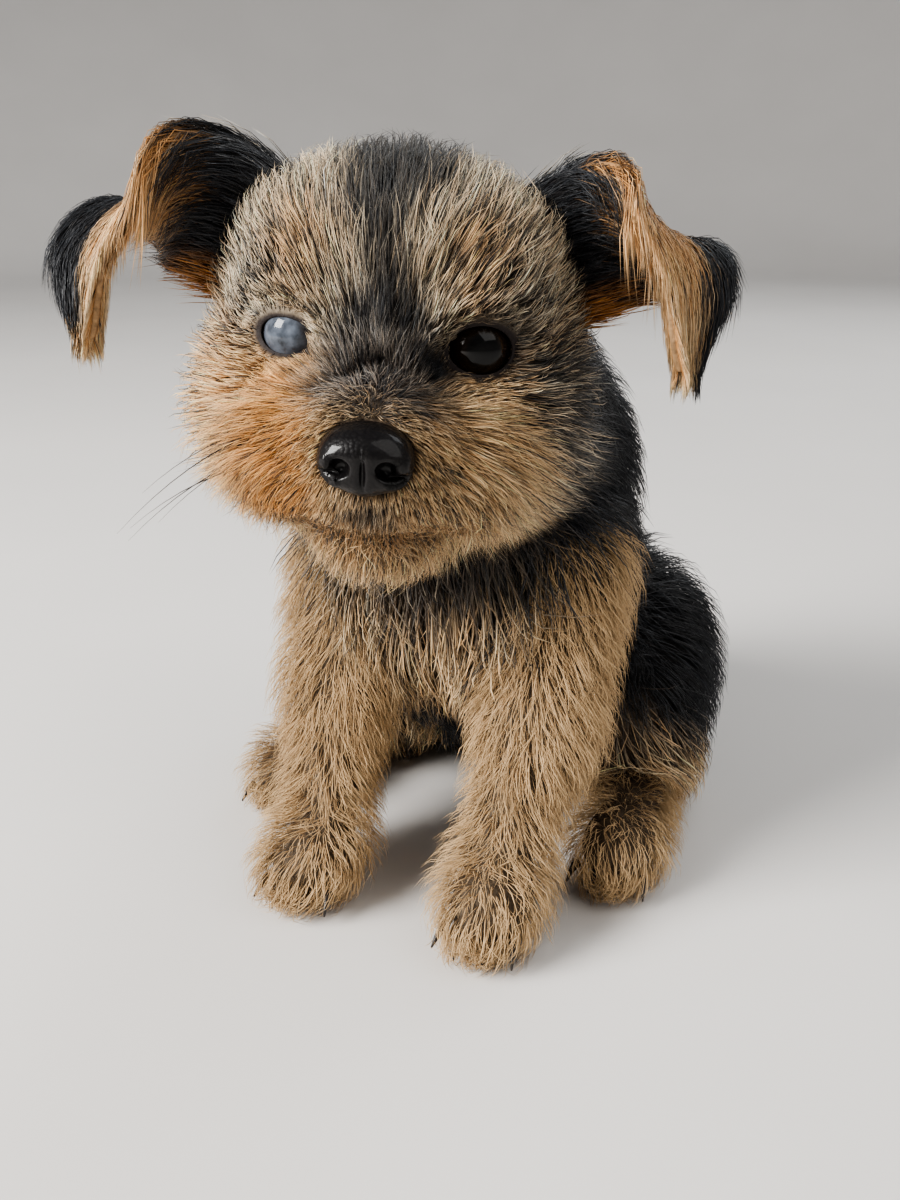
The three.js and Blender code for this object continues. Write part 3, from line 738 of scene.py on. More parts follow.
def lie_of(name, p):
    x, y, z = p.T
    flat = np.ones(len(p))
    kind = kind_of(name)
    if kind == "head":
        return head_lie(to_head(p)) @ HEAD_AXES.T
    if kind == "neck":
        lie = [0.01 * x, 0.35 * flat, -flat]
    elif kind == "torso":
        lie = [0.006 * x, 0.25 + 0.3 * smooth(y, -40, 10), -flat]
    elif kind == "foreleg":
        low = smooth(z, 8, 30)
        lie = [0.004 * x, mix(-1, 0.05, low), mix(-0.7, -1, low)]
    elif kind == "hindleg":
        lie = [0.006 * x, 0.3 * flat, -flat]
    elif kind == "hindfoot":
        lie = [0.2 * np.sign(x), -0.8 * flat, -0.5 * flat]
    else:
        t = along_tail(y)
        lie = list((spline(TAIL, t + 0.05) - spline(TAIL, t - 0.05)).T)
    return unit(np.stack(lie, axis=1))


def reach_of(name, p):
    """How far the coat's outermost tips stand above the solids' core."""
    kind = kind_of(name)
    if kind != "head":
        return np.full(len(p), REACHES[kind])
    q = to_head(p)
    cheek = smooth(np.abs(q[:, 0]), 12, 30) * smooth(-q[:, 2], -4, 12)
    open_face = mix(2.5, 5.5, smooth(near_nose(q), 10, 40))
    beard = smooth(-q[:, 2], 28, 36) * smooth(-q[:, 1], 6, 16)
    jowl = smooth(np.abs(q[:, 0]), 8, 19) * smooth(-q[:, 2], 10, 22) * smooth(-q[:, 1], -6, 8)
    return (open_face + 2.5 * cheek) * smooth(near_eyes(q), 4.5, 12) + np.maximum(5 * beard, 6 * jowl)


def length_of(name, p):
    kind = kind_of(name)
    if kind == "foreleg":
        return mix(9.5, 14, smooth(p[:, 2], 14, 50))
    if kind != "head":
        return np.full(len(p), float(LENGTHS[kind]))
    q = to_head(p)
    from_nose = near_nose(q)
    length = mix(3, 10.5, smooth(from_nose, 7.5, 19)) + 6 * smooth(from_nose, 22, 48)
    return length * mix(0.3, 1, smooth(near_eyes(q), 8.5, 19))


def width_of(name, p):
    kind = kind_of(name)
    if kind != "head":
        return np.full(len(p), WIDTHS[kind])
    return mix(0.16, 0.30, smooth(near_nose(to_head(p)), 10, 60))


# The coat: closed thin tufts, each a line of points with a three-sided section

BAKE_PATCH = 0.003
BAKE_EDGE = 0.01
ROOM_FOR_LOSSES = 1.12  # roots scattered for each tuft that is kept


def scatter(piece, count, rng, weight):
    """Random points on a mesh, as many as asked for, spread by area times weight."""
    mesh = piece.data
    mesh.calc_loop_triangles()
    index = np.empty(len(mesh.loop_triangles) * 3, np.int32)
    mesh.loop_triangles.foreach_get("vertices", index)
    a, b, c = (to_body(corners(mesh))[index.reshape(-1, 3)[:, k]] for k in range(3))
    area = np.linalg.norm(np.cross(b - a, c - a), axis=1) * weight((a + b + c) / 3)
    face = rng.choice(len(area), count, p=area / area.sum())
    s, t = rng.random((2, count, 1))
    folded = s + t > 1
    s, t = np.where(folded, 1 - s, s), np.where(folded, 1 - t, t)
    return a[face] + (b[face] - a[face]) * s + (c[face] - a[face]) * t


def grow(name, roots, length, lift, steps, rng):
    """Lines that leave the skin and lie along the body, steps + 1 points to each root."""
    top = (skin_depth(roots) + reach_of(name, roots)) * lift
    normal = outwards(skin_distance, roots, 0.8)
    unruly = 0.11 if name == "head" else 0.2
    wander = rng.normal(0, unruly, roots.shape)
    curl = rng.normal(0, unruly * 1.5, roots.shape)
    p = roots - normal * 0.5
    lines = [p]
    n = normal
    for i in range(steps):
        t = (i + 1) / steps
        d = lie_of(name, p) + wander + curl * t
        d = unit(d - n * np.sum(d * n, axis=1, keepdims=True))
        p = p + d * (length / steps)[:, None]
        height = top * (1 - (1 - t) ** 1.8)
        n = outwards(skin_distance, p, 0.8)
        p = p + n * np.clip(height - skin_distance(p), -6, 6)[:, None]
        lines.append(p)
    return np.stack(lines, axis=1), normal


def gather(lines, every, rng):
    """Draws the tips of neighbouring tufts together into locks."""
    leaders = lines[::every]
    tree = kdtree.KDTree(len(leaders))
    for index, line in enumerate(leaders):
        tree.insert(line[0], index)
    tree.balance()
    nearest = np.array([tree.find(line[0])[1] for line in lines])
    steps = lines.shape[1] - 1
    pull = rng.uniform(0.2, 0.75, (len(lines), 1)) * (np.arange(steps + 1) / steps) ** 1.4
    return mix(lines, leaders[nearest], pull[:, :, None])


def tuft_piece(name, lines, normals, widths, root, tip, places):
    """One mesh of closed tufts, coloured from root to tip, with the bake's map."""
    count, points = lines.shape[:2]
    rings = points - 2
    along = unit(np.gradient(lines, axis=1))
    across = unit(np.cross(along, normals[:, None, :]))
    above = np.cross(across, along)
    per_tuft = 3 * rings + 2
    vertices = np.empty((count, per_tuft, 3))
    blend_in = np.empty(per_tuft)
    patch = np.zeros((per_tuft, 2))
    vertices[:, 0], vertices[:, -1] = lines[:, 0], lines[:, -1]
    blend_in[0], blend_in[-1] = 0, 1
    patch[-1] = (0.5, 1)
    taper = np.linspace(1, 0.55, rings)
    for ring in range(rings):
        for corner in range(3):
            angle = math.radians(90 + 120 * corner)
            at = 1 + 3 * ring + corner
            wide = (widths * taper[ring] * 0.5)[:, None]
            offset = across[:, ring + 1] * math.cos(angle) + above[:, ring + 1] * math.sin(angle) * 0.6
            vertices[:, at] = lines[:, ring + 1] + offset * wide
            blend_in[at] = (ring + 1) / (rings + 1)
            patch[at] = (corner / 2, (ring + 1) / (rings + 1))
    vertices[:, :, 2] = np.maximum(vertices[:, :, 2], 0.25)
    faces = []
    for corner in range(3):
        after = (corner + 1) % 3
        faces.append((0, 1 + corner, 1 + after))
        for ring in range(rings - 1):
            a, b = 1 + 3 * ring, 4 + 3 * ring
            faces += [(a + corner, b + corner, b + after), (a + corner, b + after, a + after)]
        last = 1 + 3 * (rings - 1)
        faces.append((last + corner, per_tuft - 1, last + after))
    faces = np.array(faces)
    index = (faces[None] + np.arange(count)[:, None, None] * per_tuft).reshape(-1, 3)
    mesh = bpy.data.meshes.new(name)
    mesh.vertices.add(count * per_tuft)
    mesh.loops.add(index.size)
    mesh.polygons.add(len(index))
    mesh.vertices.foreach_set("co", to_metres(vertices.reshape(-1, 3)).ravel())
    mesh.loops.foreach_set("vertex_index", index.ravel())
    mesh.polygons.foreach_set("loop_start", np.arange(0, index.size, 3))
    mesh.polygons.foreach_set("use_smooth", np.ones(len(index), bool))
    mesh.update(calc_edges=True)
    piece = bpy.data.objects.new(name, mesh)
    bpy.context.collection.objects.link(piece)
    ramp = smooth(blend_in, 0.12, 0.88)[None, :, None]
    write_colours(piece, mix(root[:, None], tip[:, None], ramp).reshape(-1, 3))
    corner_uv = (places[:, None] + (patch - 0.5) * BAKE_PATCH).reshape(-1, 2)[index.ravel()]
    mesh.uv_layers.new(name="OFBake").data.foreach_set("uv", corner_uv.ravel())
    return piece


def fill_square(places):
    """Spreads a piece's unwrap over the whole bake square."""
    low, high = places.min(axis=0), places.max(axis=0)
    return BAKE_EDGE + (places - low) / (high - low) * (1 - 2 * BAKE_EDGE)


UNWRAPS = {
    "neck": ([0, -36, 112], 2), "torso": ([0, -8, 70], 2), "tail": ([8, 70, 12], 1),
    "foreleg": ([LEG_SPREAD, -60, 40], 2), "hindleg": ([32, 8, 30], 0), "hindfoot": ([45, -20, 11], 1),
}


def unwrap(name, p):
    """The angle round a part's own line and the distance along it."""
    kind = kind_of(name)
    if kind == "head":
        q = to_head(p) - [0, -2, -4]
        return np.stack([np.arctan2(q[:, 0], -q[:, 1]), q[:, 2] / 20], axis=1)
    centre, axis = UNWRAPS[kind]
    s = -1 if name.endswith("right") else 1
    off = p - mirrored(centre, s)
    a, b = [k for k in range(3) if k != axis]
    return np.stack([np.arctan2(off[:, a], off[:, b]), off[:, axis] / 20], axis=1)


def vary(root, tip, share, rng):
    """Each tuft's own shade, with dark ones among the light ones, as many as the share says."""
    count = len(root)
    shade = np.exp(rng.normal(0, 0.24, (count, 1)))
    warm = rng.normal(0, 0.06, (count, 1)) * [1, 0, -1]
    tip = np.clip(tip * shade * (1 + warm), 0.004, 0.95)
    root = np.clip(root * np.sqrt(shade), 0.003, 0.95)
    dark = (rng.random(count) < share)[:, None]
    pale = (rng.random(count) < 0.08)[:, None]
    pale = pale & (tip.max(axis=1, keepdims=True) > 0.1)
    tip = np.where(dark, mix(tip, INK, 0.88), np.where(pale, mix(tip, CREAM, 0.35), tip))
    return np.where(dark, INK, root), tip


def in_opening(q, s):
    """How far from the middle of an eye's opening each point lies: 1 at the lids' edge."""
    off = q - eye_middle(s)
    distance = np.linalg.norm(off, axis=1)
    axis, side, up = eye_directions(s)
    angle = np.arccos(np.clip(off @ axis / distance, -1, 1))
    across, over = off @ side, off @ up
    flat = np.maximum(np.hypot(across, over), 1e-6)
    wide, high = LID_OPENINGS[s]
    return angle * np.hypot(across / flat / wide, over / flat / high), distance


def opening_at(q):
    """The same for whichever eye is nearer its opening."""
    return np.minimum(*(in_opening(q, s)[0] for _, s in SIDES))


def free_of_features(lines):
    """Which lines stay off the eyes' openings and the nose."""
    q = to_head(lines.reshape(-1, 3))
    clear = nose_mass(q) > 0.2
    for _, s in SIDES:
        opening, distance = in_opening(q, s)
        clear &= (distance > 17) | (opening > (0.95 if s > 0 else 0.8))
    return clear.reshape(lines.shape[:2])[:, 1:].all(axis=1)


def trimmed(lines):
    """Shortens the lines that cross an eye or the nose, and says which are then clear."""
    for _ in range(3):
        crossing = ~free_of_features(lines)
        roots = lines[crossing, :1]
        lines[crossing] = roots + (lines[crossing] - roots) * 0.6
    return free_of_features(lines)


def comb(name, skin, count, steps, seed, every):
    """All the tufts of one part: lines, normals, widths, colours and places in the unwrap."""
    rng = np.random.default_rng(seed)
    index = PARTS.index(name)

    def weight(p):
        own = part_of(p) == index
        if name != "head":
            return own * 1.0
        return own * (1 + 3.5 * (1 - smooth(near_nose(to_head(p)), 12, 45)))

    roots = scatter(skin, int(count * ROOM_FOR_LOSSES), rng, weight)
    length = length_of(name, roots) * rng.uniform(0.7, 1.2, len(roots))
    lift = rng.uniform(0.25, 1.0, len(roots)) ** 0.8
    lines, normals = grow(name, roots, length, lift, steps, rng)
    lines = gather(lines, every, rng)
    if name == "head":
        kept = trimmed(lines)
        roots, lines, normals = roots[kept], lines[kept], normals[kept]
    roots, lines, normals = roots[:count], lines[:count], normals[:count]
    root, tip = vary(*markings(name, roots, rng.normal(0, 0.45, len(roots))), rng)
    widths = width_of(name, roots) * rng.uniform(0.7, 1.3, len(roots))
    return lines, normals, widths, root, tip, unwrap(name, roots)


def ear_point(side, u, v, lift):
    """A point over the ear, also past its edges and its tip."""
    inner = np.clip(u, -1.05, 1.05)
    p, along, across, face = ear_frame(side, inner, np.clip(v, 0, 1), lift)
    p = p + along * (np.maximum(v - 1, 0) * EAR_LENGTH)[..., None]
    return p + across * ((u - inner) * EAR_HALF_WIDTH * 0.7)[..., None], face


def ear_coat(side, count, seed):
    """The tufts of one ear, on both its faces, with a longer fringe along its edges."""
    rng = np.random.default_rng(seed)
    u = rng.uniform(-1, 1, count)
    v = rng.uniform(0.02, 1, count)
    fringe = rng.random(count) < 0.2
    u = np.where(fringe, np.sign(u) * rng.uniform(0.85, 1, count), u)
    outer = rng.random(count) < mix(0.52, 0.62, v)
    sign = np.where(outer, 1.0, -1.0)
    length = np.where(outer, 9.5, 8.0) * rng.uniform(0.7, 1.25, count)
    length = np.where(fringe, 12 * rng.uniform(0.7, 1.2, count), length)
    length = length * mix(1, 0.5, smooth(v, 0.72, 1))
    wisp = (v < 0.22) & (rng.random(count) < 0.16)
    length = np.where(wisp, rng.uniform(11, 19, count), length)
    outwards_lean = mix(0.35, 1, smooth(v, 0.3, 0.5)) * (1 - 1.5 * smooth(v, 0.55, 0.85))
    lean = np.where(fringe, 0.7, 0.35) * u * outwards_lean + rng.normal(0, 0.12, count)
    curtain = np.where(outer, 0, smooth(v, 0.14, 0.26) * (1 - smooth(v, 0.4, 0.5)))
    hanging = 0.08 + 0.4 * curtain
    length = length * (1 + 0.45 * curtain)
    rise = rng.uniform(0.5, 2.2, count) + rng.normal(0, 0.3, count) ** 2
    rise = rise + np.where(wisp, rng.uniform(1, 6, count), 0)
    points = []
    for t in np.linspace(0, 1, 4):
        walked = length * t
        lift = sign * (0.4 + rise * math.sin(t * math.pi / 2))
        point, face = ear_point(side, u + lean * walked / EAR_HALF_WIDTH, v + walked / EAR_LENGTH, lift)
        point[:, 2] -= length * hanging * t * t
        points.append(point)
        if t == 0:
            normals = face * sign[:, None]
    lines = gather(np.stack(points, axis=1), 7, rng)
    root, tip = ear_markings(side, u, v, outer * 1.0, rng.normal(0, 0.35, count))
    tip = paint(tip, mix(SLATE, CREAM, 0.5), 0.8 * wisp * outer)
    root, tip = vary(root, tip, 0.08, rng)
    widths = rng.uniform(0.22, 0.4, count)
    places = np.stack([(u + 1) / 2 + np.where(outer, 0, 1.05), v], axis=1)
    return lines, normals, widths, root, tip, places


def lid_coat(lids, count, seed):
    """Short hair on the lids, lying away from the eyes' openings."""
    rng = np.random.default_rng(seed)

    def weight(p):
        q = to_head(p)
        opening = opening_at(q)
        furry = (opening >= 1.04) & (near_eyes(q) > EYE_RADIUS + 0.6)
        return furry * (1 + 3 * (1 - smooth(opening, 1.1, 1.6)))

    roots = scatter(lids, count, rng, weight)
    q = to_head(roots)
    s = np.where(q[:, 0] > 0, 1.0, -1.0)
    middle = np.array([eye_middle(1), eye_middle(-1)])[(s < 0).astype(int)]
    axis = np.array([eye_axis(1), eye_axis(-1)])[(s < 0).astype(int)]
    normal = unit(q - middle)
    d = -axis + normal * np.sum(normal * axis, axis=1, keepdims=True)
    d = unit(unit(d) + 0.6 * unit(q - NOSE_AT) + rng.normal(0, 0.2, q.shape))
    length = rng.uniform(2.6, 5.6, count)
    t = np.linspace(0, 1, 4)
    lift = rng.uniform(0.3, 1.6, count)
    lines = q[:, None] + d[:, None] * (length[:, None] * t)[:, :, None]
    lines = lines + normal[:, None] * (lift[:, None] * np.sqrt(t) - 0.15)[:, :, None]
    root, tip = vary(*head_markings(q, rng.normal(0, 0.45, count)), rng)
    places = np.stack([q[:, 0], q[:, 2]], axis=1)
    turned = normal @ HEAD_AXES.T
    lines = from_head(lines.reshape(-1, 3)).reshape(lines.shape)
    return lines, turned, rng.uniform(0.18, 0.3, count), root, tip, places


# Whiskers and claws

def make_whiskers(count, seed):
    """Long thin hairs from the upper lips, each a stretched cone bent along a curve."""
    rng = np.random.default_rng(seed)
    deselect()
    made = []
    for _, s in SIDES:
        for k in range(count):
            start = np.array([s * rng.uniform(15, 19), rng.uniform(-34, -26), rng.uniform(-23, -14)])
            out = unit(np.array([s * 1.0, rng.uniform(-0.35, 0.1), rng.uniform(-0.3, 0.15)]))
            length = rng.uniform(30, 43)
            bpy.ops.mesh.primitive_cone_add(
                vertices=6, radius1=1, radius2=0.12, depth=1, end_fill_type="TRIFAN"
            )
            hair = bpy.context.object
            cut_up(8)
            co = corners(hair.data)
            t = co[:, 2] + 0.5
            droop = np.array([0, 0.1 * k, -1]) * (length * 0.42)
            curve = start + np.outer(t * length, out) + np.outer(t**2, droop)
            side = unit(np.cross(out, [0, 0, 1]))
            up = np.cross(side, out)
            curve += np.outer(co[:, 0], side) * 0.2 + np.outer(co[:, 1], up) * 0.2
            set_corners(hair.data, to_metres(from_head(curve)))
            made.append(hair)
    return joined(made, "whiskers")


def claw_roots():
    """Where each claw leaves its toe, and which way it points, in body millimetres."""
    for _, s in SIDES:
        for x in (-9, -3.2, 3.2, 9):
            yield [s * LEG_SPREAD + x, -87 + abs(x) * 0.35, 6], [x * 0.03, -1, -0.45]
            yield [toes_x(s) + x, -50.5 + abs(x) * 0.3, 6], [x * 0.03, -1, -0.45]


def make_claws():
    deselect()
    made = []
    for root, towards in claw_roots():
        bpy.ops.mesh.primitive_cone_add(vertices=16, radius1=1.5, radius2=0.25, depth=6)
        claw = bpy.context.object
        cut_up(4)
        co = corners(claw.data)
        d = unit(np.array(towards))
        side = unit(np.cross(d, [0, 0, 1]))
        up = np.cross(side, d)
        t = (co[:, 2] + 3) / 6
        p = np.array(root) + np.outer(co[:, 2] + 1, d) + np.outer(co[:, 0] * 0.8, side)
        p += np.outer(co[:, 1] + 1.2 * (1 - t) * t - 0.9 * t**2, up)
        p[:, 2] = np.maximum(p[:, 2], 0.3)
        set_corners(claw.data, to_metres(p))
        made.append(claw)
    return joined(made, "claws")


# Finishes: materials put together from sums on their sockets

class Wire:
    """A socket of a material, whose sums and products add Math nodes."""

    def __init__(self, finish, socket):
        self.finish = finish
        self.socket = socket

    def _sum(self, operation, a, b):
        return self.finish.node("ShaderNodeMath", {"operation": operation}, {0: a, 1: b})

    def __add__(self, other):
        return self._sum("ADD", self, other)

    __radd__ = __add__

    def __sub__(self, other):
        return self._sum("SUBTRACT", self, other)

    def __rsub__(self, other):
        return self._sum("SUBTRACT", other, self)

    def __mul__(self, other):
        return self._sum("MULTIPLY", self, other)

    __rmul__ = __mul__


class Finish:
    """A material under way: node() adds any node, and shader holds the Principled one."""

    def __init__(self, name, **fixed):
        self.material = bpy.data.materials.new(name)
        self.material.use_nodes = True
        self.nodes = self.material.node_tree.nodes
        self.links = self.material.node_tree.links
        self.shader = self.nodes["Principled BSDF"]
        for socket, value in fixed.items():
            self.shader.inputs[socket.replace("_", " ")].default_value = value

    def node(self, kind, settings=None, inputs=None, output=0):
        node = self.nodes.new(kind)
        for key, value in (settings or {}).items():
            if key == "stops":
                self.set_stops(node.color_ramp, value)
            else:
                setattr(node, key, value)
        for key, value in (inputs or {}).items():
            self.feed(node.inputs[key], value)
        return Wire(self, node.outputs[output])

    def feed(self, socket, value):
        if isinstance(value, Wire):
            self.links.new(value.socket, socket)
        else:
            socket.default_value = value

    def set_stops(self, ramp, stops):
        while len(ramp.elements) < len(stops):
            ramp.elements.new(1)
        for element, (place, colour) in zip(ramp.elements, stops):
            element.position = place
            element.color = (*colour, 1)

    def place(self):
        return self.node("ShaderNodeTexCoord", output="Object")

    def noise(self, size, detail=3):
        inputs = {"Vector": self.place(), "Scale": 1 / size, "Detail": detail}
        return self.node("ShaderNodeTexNoise", inputs=inputs)

    def vector(self, operation, *values, output=0):
        inputs = dict(enumerate(values))
        return self.node("ShaderNodeVectorMath", {"operation": operation}, inputs, output)

    def marking(self):
        return self.node("ShaderNodeAttribute", {"attribute_name": "markings"})

    def mix(self, factor, a, b, kind="MIX"):
        settings = {"data_type": "RGBA", "blend_type": kind}
        return self.node("ShaderNodeMix", settings, {0: factor, 6: a, 7: b}, output=2)

    def bump(self, height, distance, strength=1.0):
        inputs = {"Height": height, "Distance": distance, "Strength": strength}
        return self.node("ShaderNodeBump", inputs=inputs)

    def wear(self, **linked):
        for socket, value in linked.items():
            self.feed(self.shader.inputs[socket.replace("_", " ")], value)
        return self.material


def coat_finish(name, roughness):
    """Hair: the markings with fine streaks, glossier where it is dark."""
    finish = Finish(name, Specular_IOR_Level=0.4, Sheen_Weight=0.05, Sheen_Roughness=0.4)
    streak = finish.noise(0.0009, 2)
    patch = finish.noise(0.009, 2)
    shade = finish.mix(streak * 0.6 + patch * 0.4, (0.72, 0.70, 0.68, 1), (1.25, 1.25, 1.25, 1))
    colour = finish.mix(1.0, finish.marking(), shade, "MULTIPLY")
    light = finish.node("ShaderNodeRGBToBW", inputs={0: finish.marking()})
    return finish.wear(Base_Color=colour, Roughness=roughness + light * 0.35 + streak * 0.1)


def skin_finish():
    """Skin under the coat: the same markings, darker, with fine pores."""
    finish = Finish("skin", Specular_IOR_Level=0.3)
    pores = finish.noise(0.0012, 4)
    colour = finish.mix(pores, finish.marking(), (0.02, 0.014, 0.012, 1))
    return finish.wear(Base_Color=colour, Roughness=0.65 + pores * 0.25, Normal=finish.bump(pores, 0.0004))


def eye_finish(name, s, painted_reflection):
    """A dark wet eye: pupil, brown iris and darker rim, with a painted reflection of a window, a pale
    grey-blue patch in its colour, when one is asked for.
    """
    finish = Finish(name, Coat_Weight=0.32, Coat_Roughness=0.02, Specular_IOR_Level=0.1)
    centre = to_metres(from_head(eye_middle(s)[None]))[0]
    off = finish.vector("SUBTRACT", finish.place(), tuple(centre))
    aim = finish.vector("NORMALIZE", off)
    axis = tuple(HEAD_AXES @ eye_axis(s))
    ahead = finish.vector("DOT_PRODUCT", aim, axis, output="Value")
    fibres = finish.node("ShaderNodeTexNoise", inputs={"Vector": aim, "Scale": 14, "Detail": 3})
    bands = [
        (0.0, (0.006, 0.004, 0.004)), (0.60, (0.006, 0.004, 0.004)), (0.70, (0.003, 0.002, 0.002)),
        (0.80, (0.010, 0.005, 0.003)), (0.90, (0.007, 0.004, 0.002)), (0.93, (0.0015, 0.0015, 0.0015)),
    ]
    iris = finish.node("ShaderNodeValToRGB", {"stops": bands}, {0: ahead + (fibres - 0.5) * 0.04})
    colour = iris
    if painted_reflection:
        # Painted reflection: a window's reflection is painted into the base colour as a mottled pale
        # grey-blue patch that fades out towards the rim
        edges = {"stops": [(0.66, (0, 0, 0)), (0.93, (1, 1, 1))]}
        fade = finish.node("ShaderNodeValToRGB", edges, {0: ahead})
        painted_reflection_mask = painted_reflection * fade * (2.4 * finish.noise(0.0026, 3) - 0.55)
        colour = finish.mix(painted_reflection_mask, iris, (0.125, 0.145, 0.18, 1))
    return finish.wear(Base_Color=colour, Roughness=0.08 + fibres * 0.05)


def nose_finish():
    """Black nose leather, pebbled and wet."""
    finish = Finish("nose_leather", Coat_Weight=0.3, Coat_Roughness=0.09, Specular_IOR_Level=0.12)
    inputs = {"Vector": finish.place(), "Scale": 1400}
    pebbles = finish.node("ShaderNodeTexVoronoi", {"feature": "F1"}, inputs)
    wet = finish.noise(0.003, 3)
    colour = finish.mix(pebbles, (0.007, 0.006, 0.006, 1), (0.003, 0.0025, 0.003, 1))
    grain = finish.bump(1 - pebbles, 0.0003, 0.35)
    return finish.wear(Base_Color=colour, Roughness=0.3 + wet * 0.25, Normal=grain)


def bare_finish(name, colour, roughness, size, gloss=0.0):
    """Bare dark skin, claw or whisker: one colour broken by fine noise."""
    finish = Finish(name, Coat_Weight=gloss, Coat_Roughness=0.25, Specular_IOR_Level=0.22)
    grain = finish.noise(size, 3)
    darker = tuple(c * 0.45 for c in colour)
    mixed = finish.mix(grain, (*colour, 1), (*darker, 1))
    rough = finish.bump(grain, size * 0.3, 0.6)
    return finish.wear(Base_Color=mixed, Roughness=roughness + grain * 0.2, Normal=rough)


def floor_finish():
    finish = Finish("pale_floor", Specular_IOR_Level=0.2)
    mottle = finish.noise(0.15, 3)
    colour = finish.mix(mottle, (0.60, 0.58, 0.56, 1), (0.66, 0.64, 0.62, 1))
    return finish.wear(Base_Color=colour, Roughness=0.7 + mottle * 0.1)


def give(piece, material):
    piece.data.materials.clear()
    piece.data.materials.append(material)


# Seeds of the random draws, and how many tufts share each lock
HEAD_SEED = 3
EAR_SEEDS = {"left": 21, "right": 22}
LID_SEED = 31
WHISKER_SEED = 11
FIRST_BODY_SEED = 40
HEAD_LOCK = 9
BODY_LOCK = 8
HEAD_STEPS = 3
HEAD_PIECES = 4


# Sizes and colours that a user would change

class SkinSettings(bpy.types.PropertyGroup):
    voxel: FloatProperty(
        name="Mesh size", description="Spacing of the skin's mesh, in millimetres",
        default=1.5, min=1.0, max=4.0,
    )
    darkness: FloatProperty(
        name="Shade", description="How light the skin is beside the coat",
        default=0.45, subtype="FACTOR", max=1.0,
    )


class CoatSettings(bpy.types.PropertyGroup):
    head: IntProperty(name="Head tufts", description="Tufts on the head without the ears", default=52000)
    lids: IntProperty(name="Lid hairs", description="Short tufts on the lids", default=7500)
    ear: IntProperty(name="Ear tufts", description="Tufts on each ear", default=9500)
    body: IntProperty(name="Body tufts", description="Tufts on the neck and torso together", default=17000)
    limb: IntProperty(name="Limb tufts", description="Tufts on each foreleg", default=6300)
    tan_roughness: FloatProperty(
        name="Tan roughness", description="Roughness of the tan hair", default=0.40, subtype="FACTOR", max=1.0
    )
    black_roughness: FloatProperty(
        name="Black roughness", description="Roughness of the black hair",
        default=0.33, subtype="FACTOR", max=1.0,
    )


class FaceSettings(bpy.types.PropertyGroup):
    # Strength of the window reflection painted into the right eye's colour
    painted_reflection: FloatProperty(
        name="Painted reflection", description="How strong the window reflection painted on the right eye is", default=0.9, subtype="FACTOR", max=1.0
    )
    whiskers: IntProperty(name="Whiskers", description="Whiskers on each side", default=5, min=0, max=12)
    lid_colour: FloatVectorProperty(
        name="Lids and lips", description="Bare skin of the lids and lips", subtype="COLOR", size=3,
        default=(0.016, 0.012, 0.012),
    )
    claw_colour: FloatVectorProperty(
        name="Claws", description="Horn of the claws", subtype="COLOR", size=3,
        default=(0.035, 0.028, 0.024),
    )


class StageSettings(bpy.types.PropertyGroup):
    floor: FloatProperty(name="Floor", description="Width of the floor", default=8.0, unit="LENGTH")
    key: FloatProperty(name="Window light", description="Power of the main light", default=46.0, unit="POWER")
    fill: FloatProperty(
        name="Fill light", description="Power of the two lesser lights", default=7.0, unit="POWER"
    )
    lens: FloatProperty(name="Lens", description="Focal length in millimetres", default=33.0)


class PuppySettings(bpy.types.PropertyGroup):
    skin: PointerProperty(type=SkinSettings)
    coat: PointerProperty(type=CoatSettings)
    face: PointerProperty(type=FaceSettings)
    stage: PointerProperty(type=StageSettings)


def seat(piece, material, slot, *nodes):
    """Gives a piece its finish and body, and hides the nodes it stands for; the slot is not used."""
    give(piece, material)
    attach(piece, "root")
    if nodes:
        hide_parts(*nodes)


def settings_of(context):
    return context.scene.puppy


class PUPPY_OT_skin(bpy.types.Operator):
    """Make the one skin that covers head, body, legs and tail"""
    bl_idname = "puppy.skin"
    bl_label = "Skin"

    def execute(self, context):
        settings = settings_of(context).skin
        skin = make_skin(settings.voxel)
        colour_skin(skin, settings.darkness)
        seat(skin, skin_finish(), "coat_tan", *PARTS)
        return {"FINISHED"}


class PUPPY_OT_ears(bpy.types.Operator):
    """Make the two folded ears that the ears' hair grows on"""
    bl_idname = "puppy.ears"
    bl_label = "Ears"

    def execute(self, context):
        finish = bpy.data.materials["skin"]
        for side, _ in SIDES:
            ear = make_ear(side)
            seat(ear, finish, "coat_black", "ear_" + side)
        return {"FINISHED"}


class PUPPY_OT_eyes(bpy.types.Operator):
    """Make the eyeballs and the lids round them"""
    bl_idname = "puppy.eyes"
    bl_label = "Eyes and lids"

    def execute(self, context):
        face = settings_of(context).face
        for side, s in SIDES:
            eye = make_eye(side, s)
            finish = eye_finish("eye_" + side, s, face.painted_reflection if side == "right" else 0)
            seat(eye, finish, "eye", "eye_" + side)
        lids = make_lids()
        q = to_head(to_body(corners(lids.data)))
        root, tip, _ = head_markings(q, np.zeros(len(q)))
        furry = smooth(opening_at(q), 1.1, 1.35)[:, None]
        write_colours(lids, mix(np.array(face.lid_colour), mix(root, tip, 0.4), furry))
        seat(lids, bpy.data.materials["skin"], "coat_tan")
        return {"FINISHED"}


class PUPPY_OT_nose(bpy.types.Operator):
    """Make the nose leather and the lips"""
    bl_idname = "puppy.nose"
    bl_label = "Nose and lips"

    def execute(self, context):
        nose = make_nose()
        seat(nose, nose_finish(), "nose_leather", "nose")
        lips = make_lips()
        finish = bare_finish("lips", settings_of(context).face.lid_colour, 0.4, 0.0009)
        seat(lips, finish, "nose_leather")
        return {"FINISHED"}


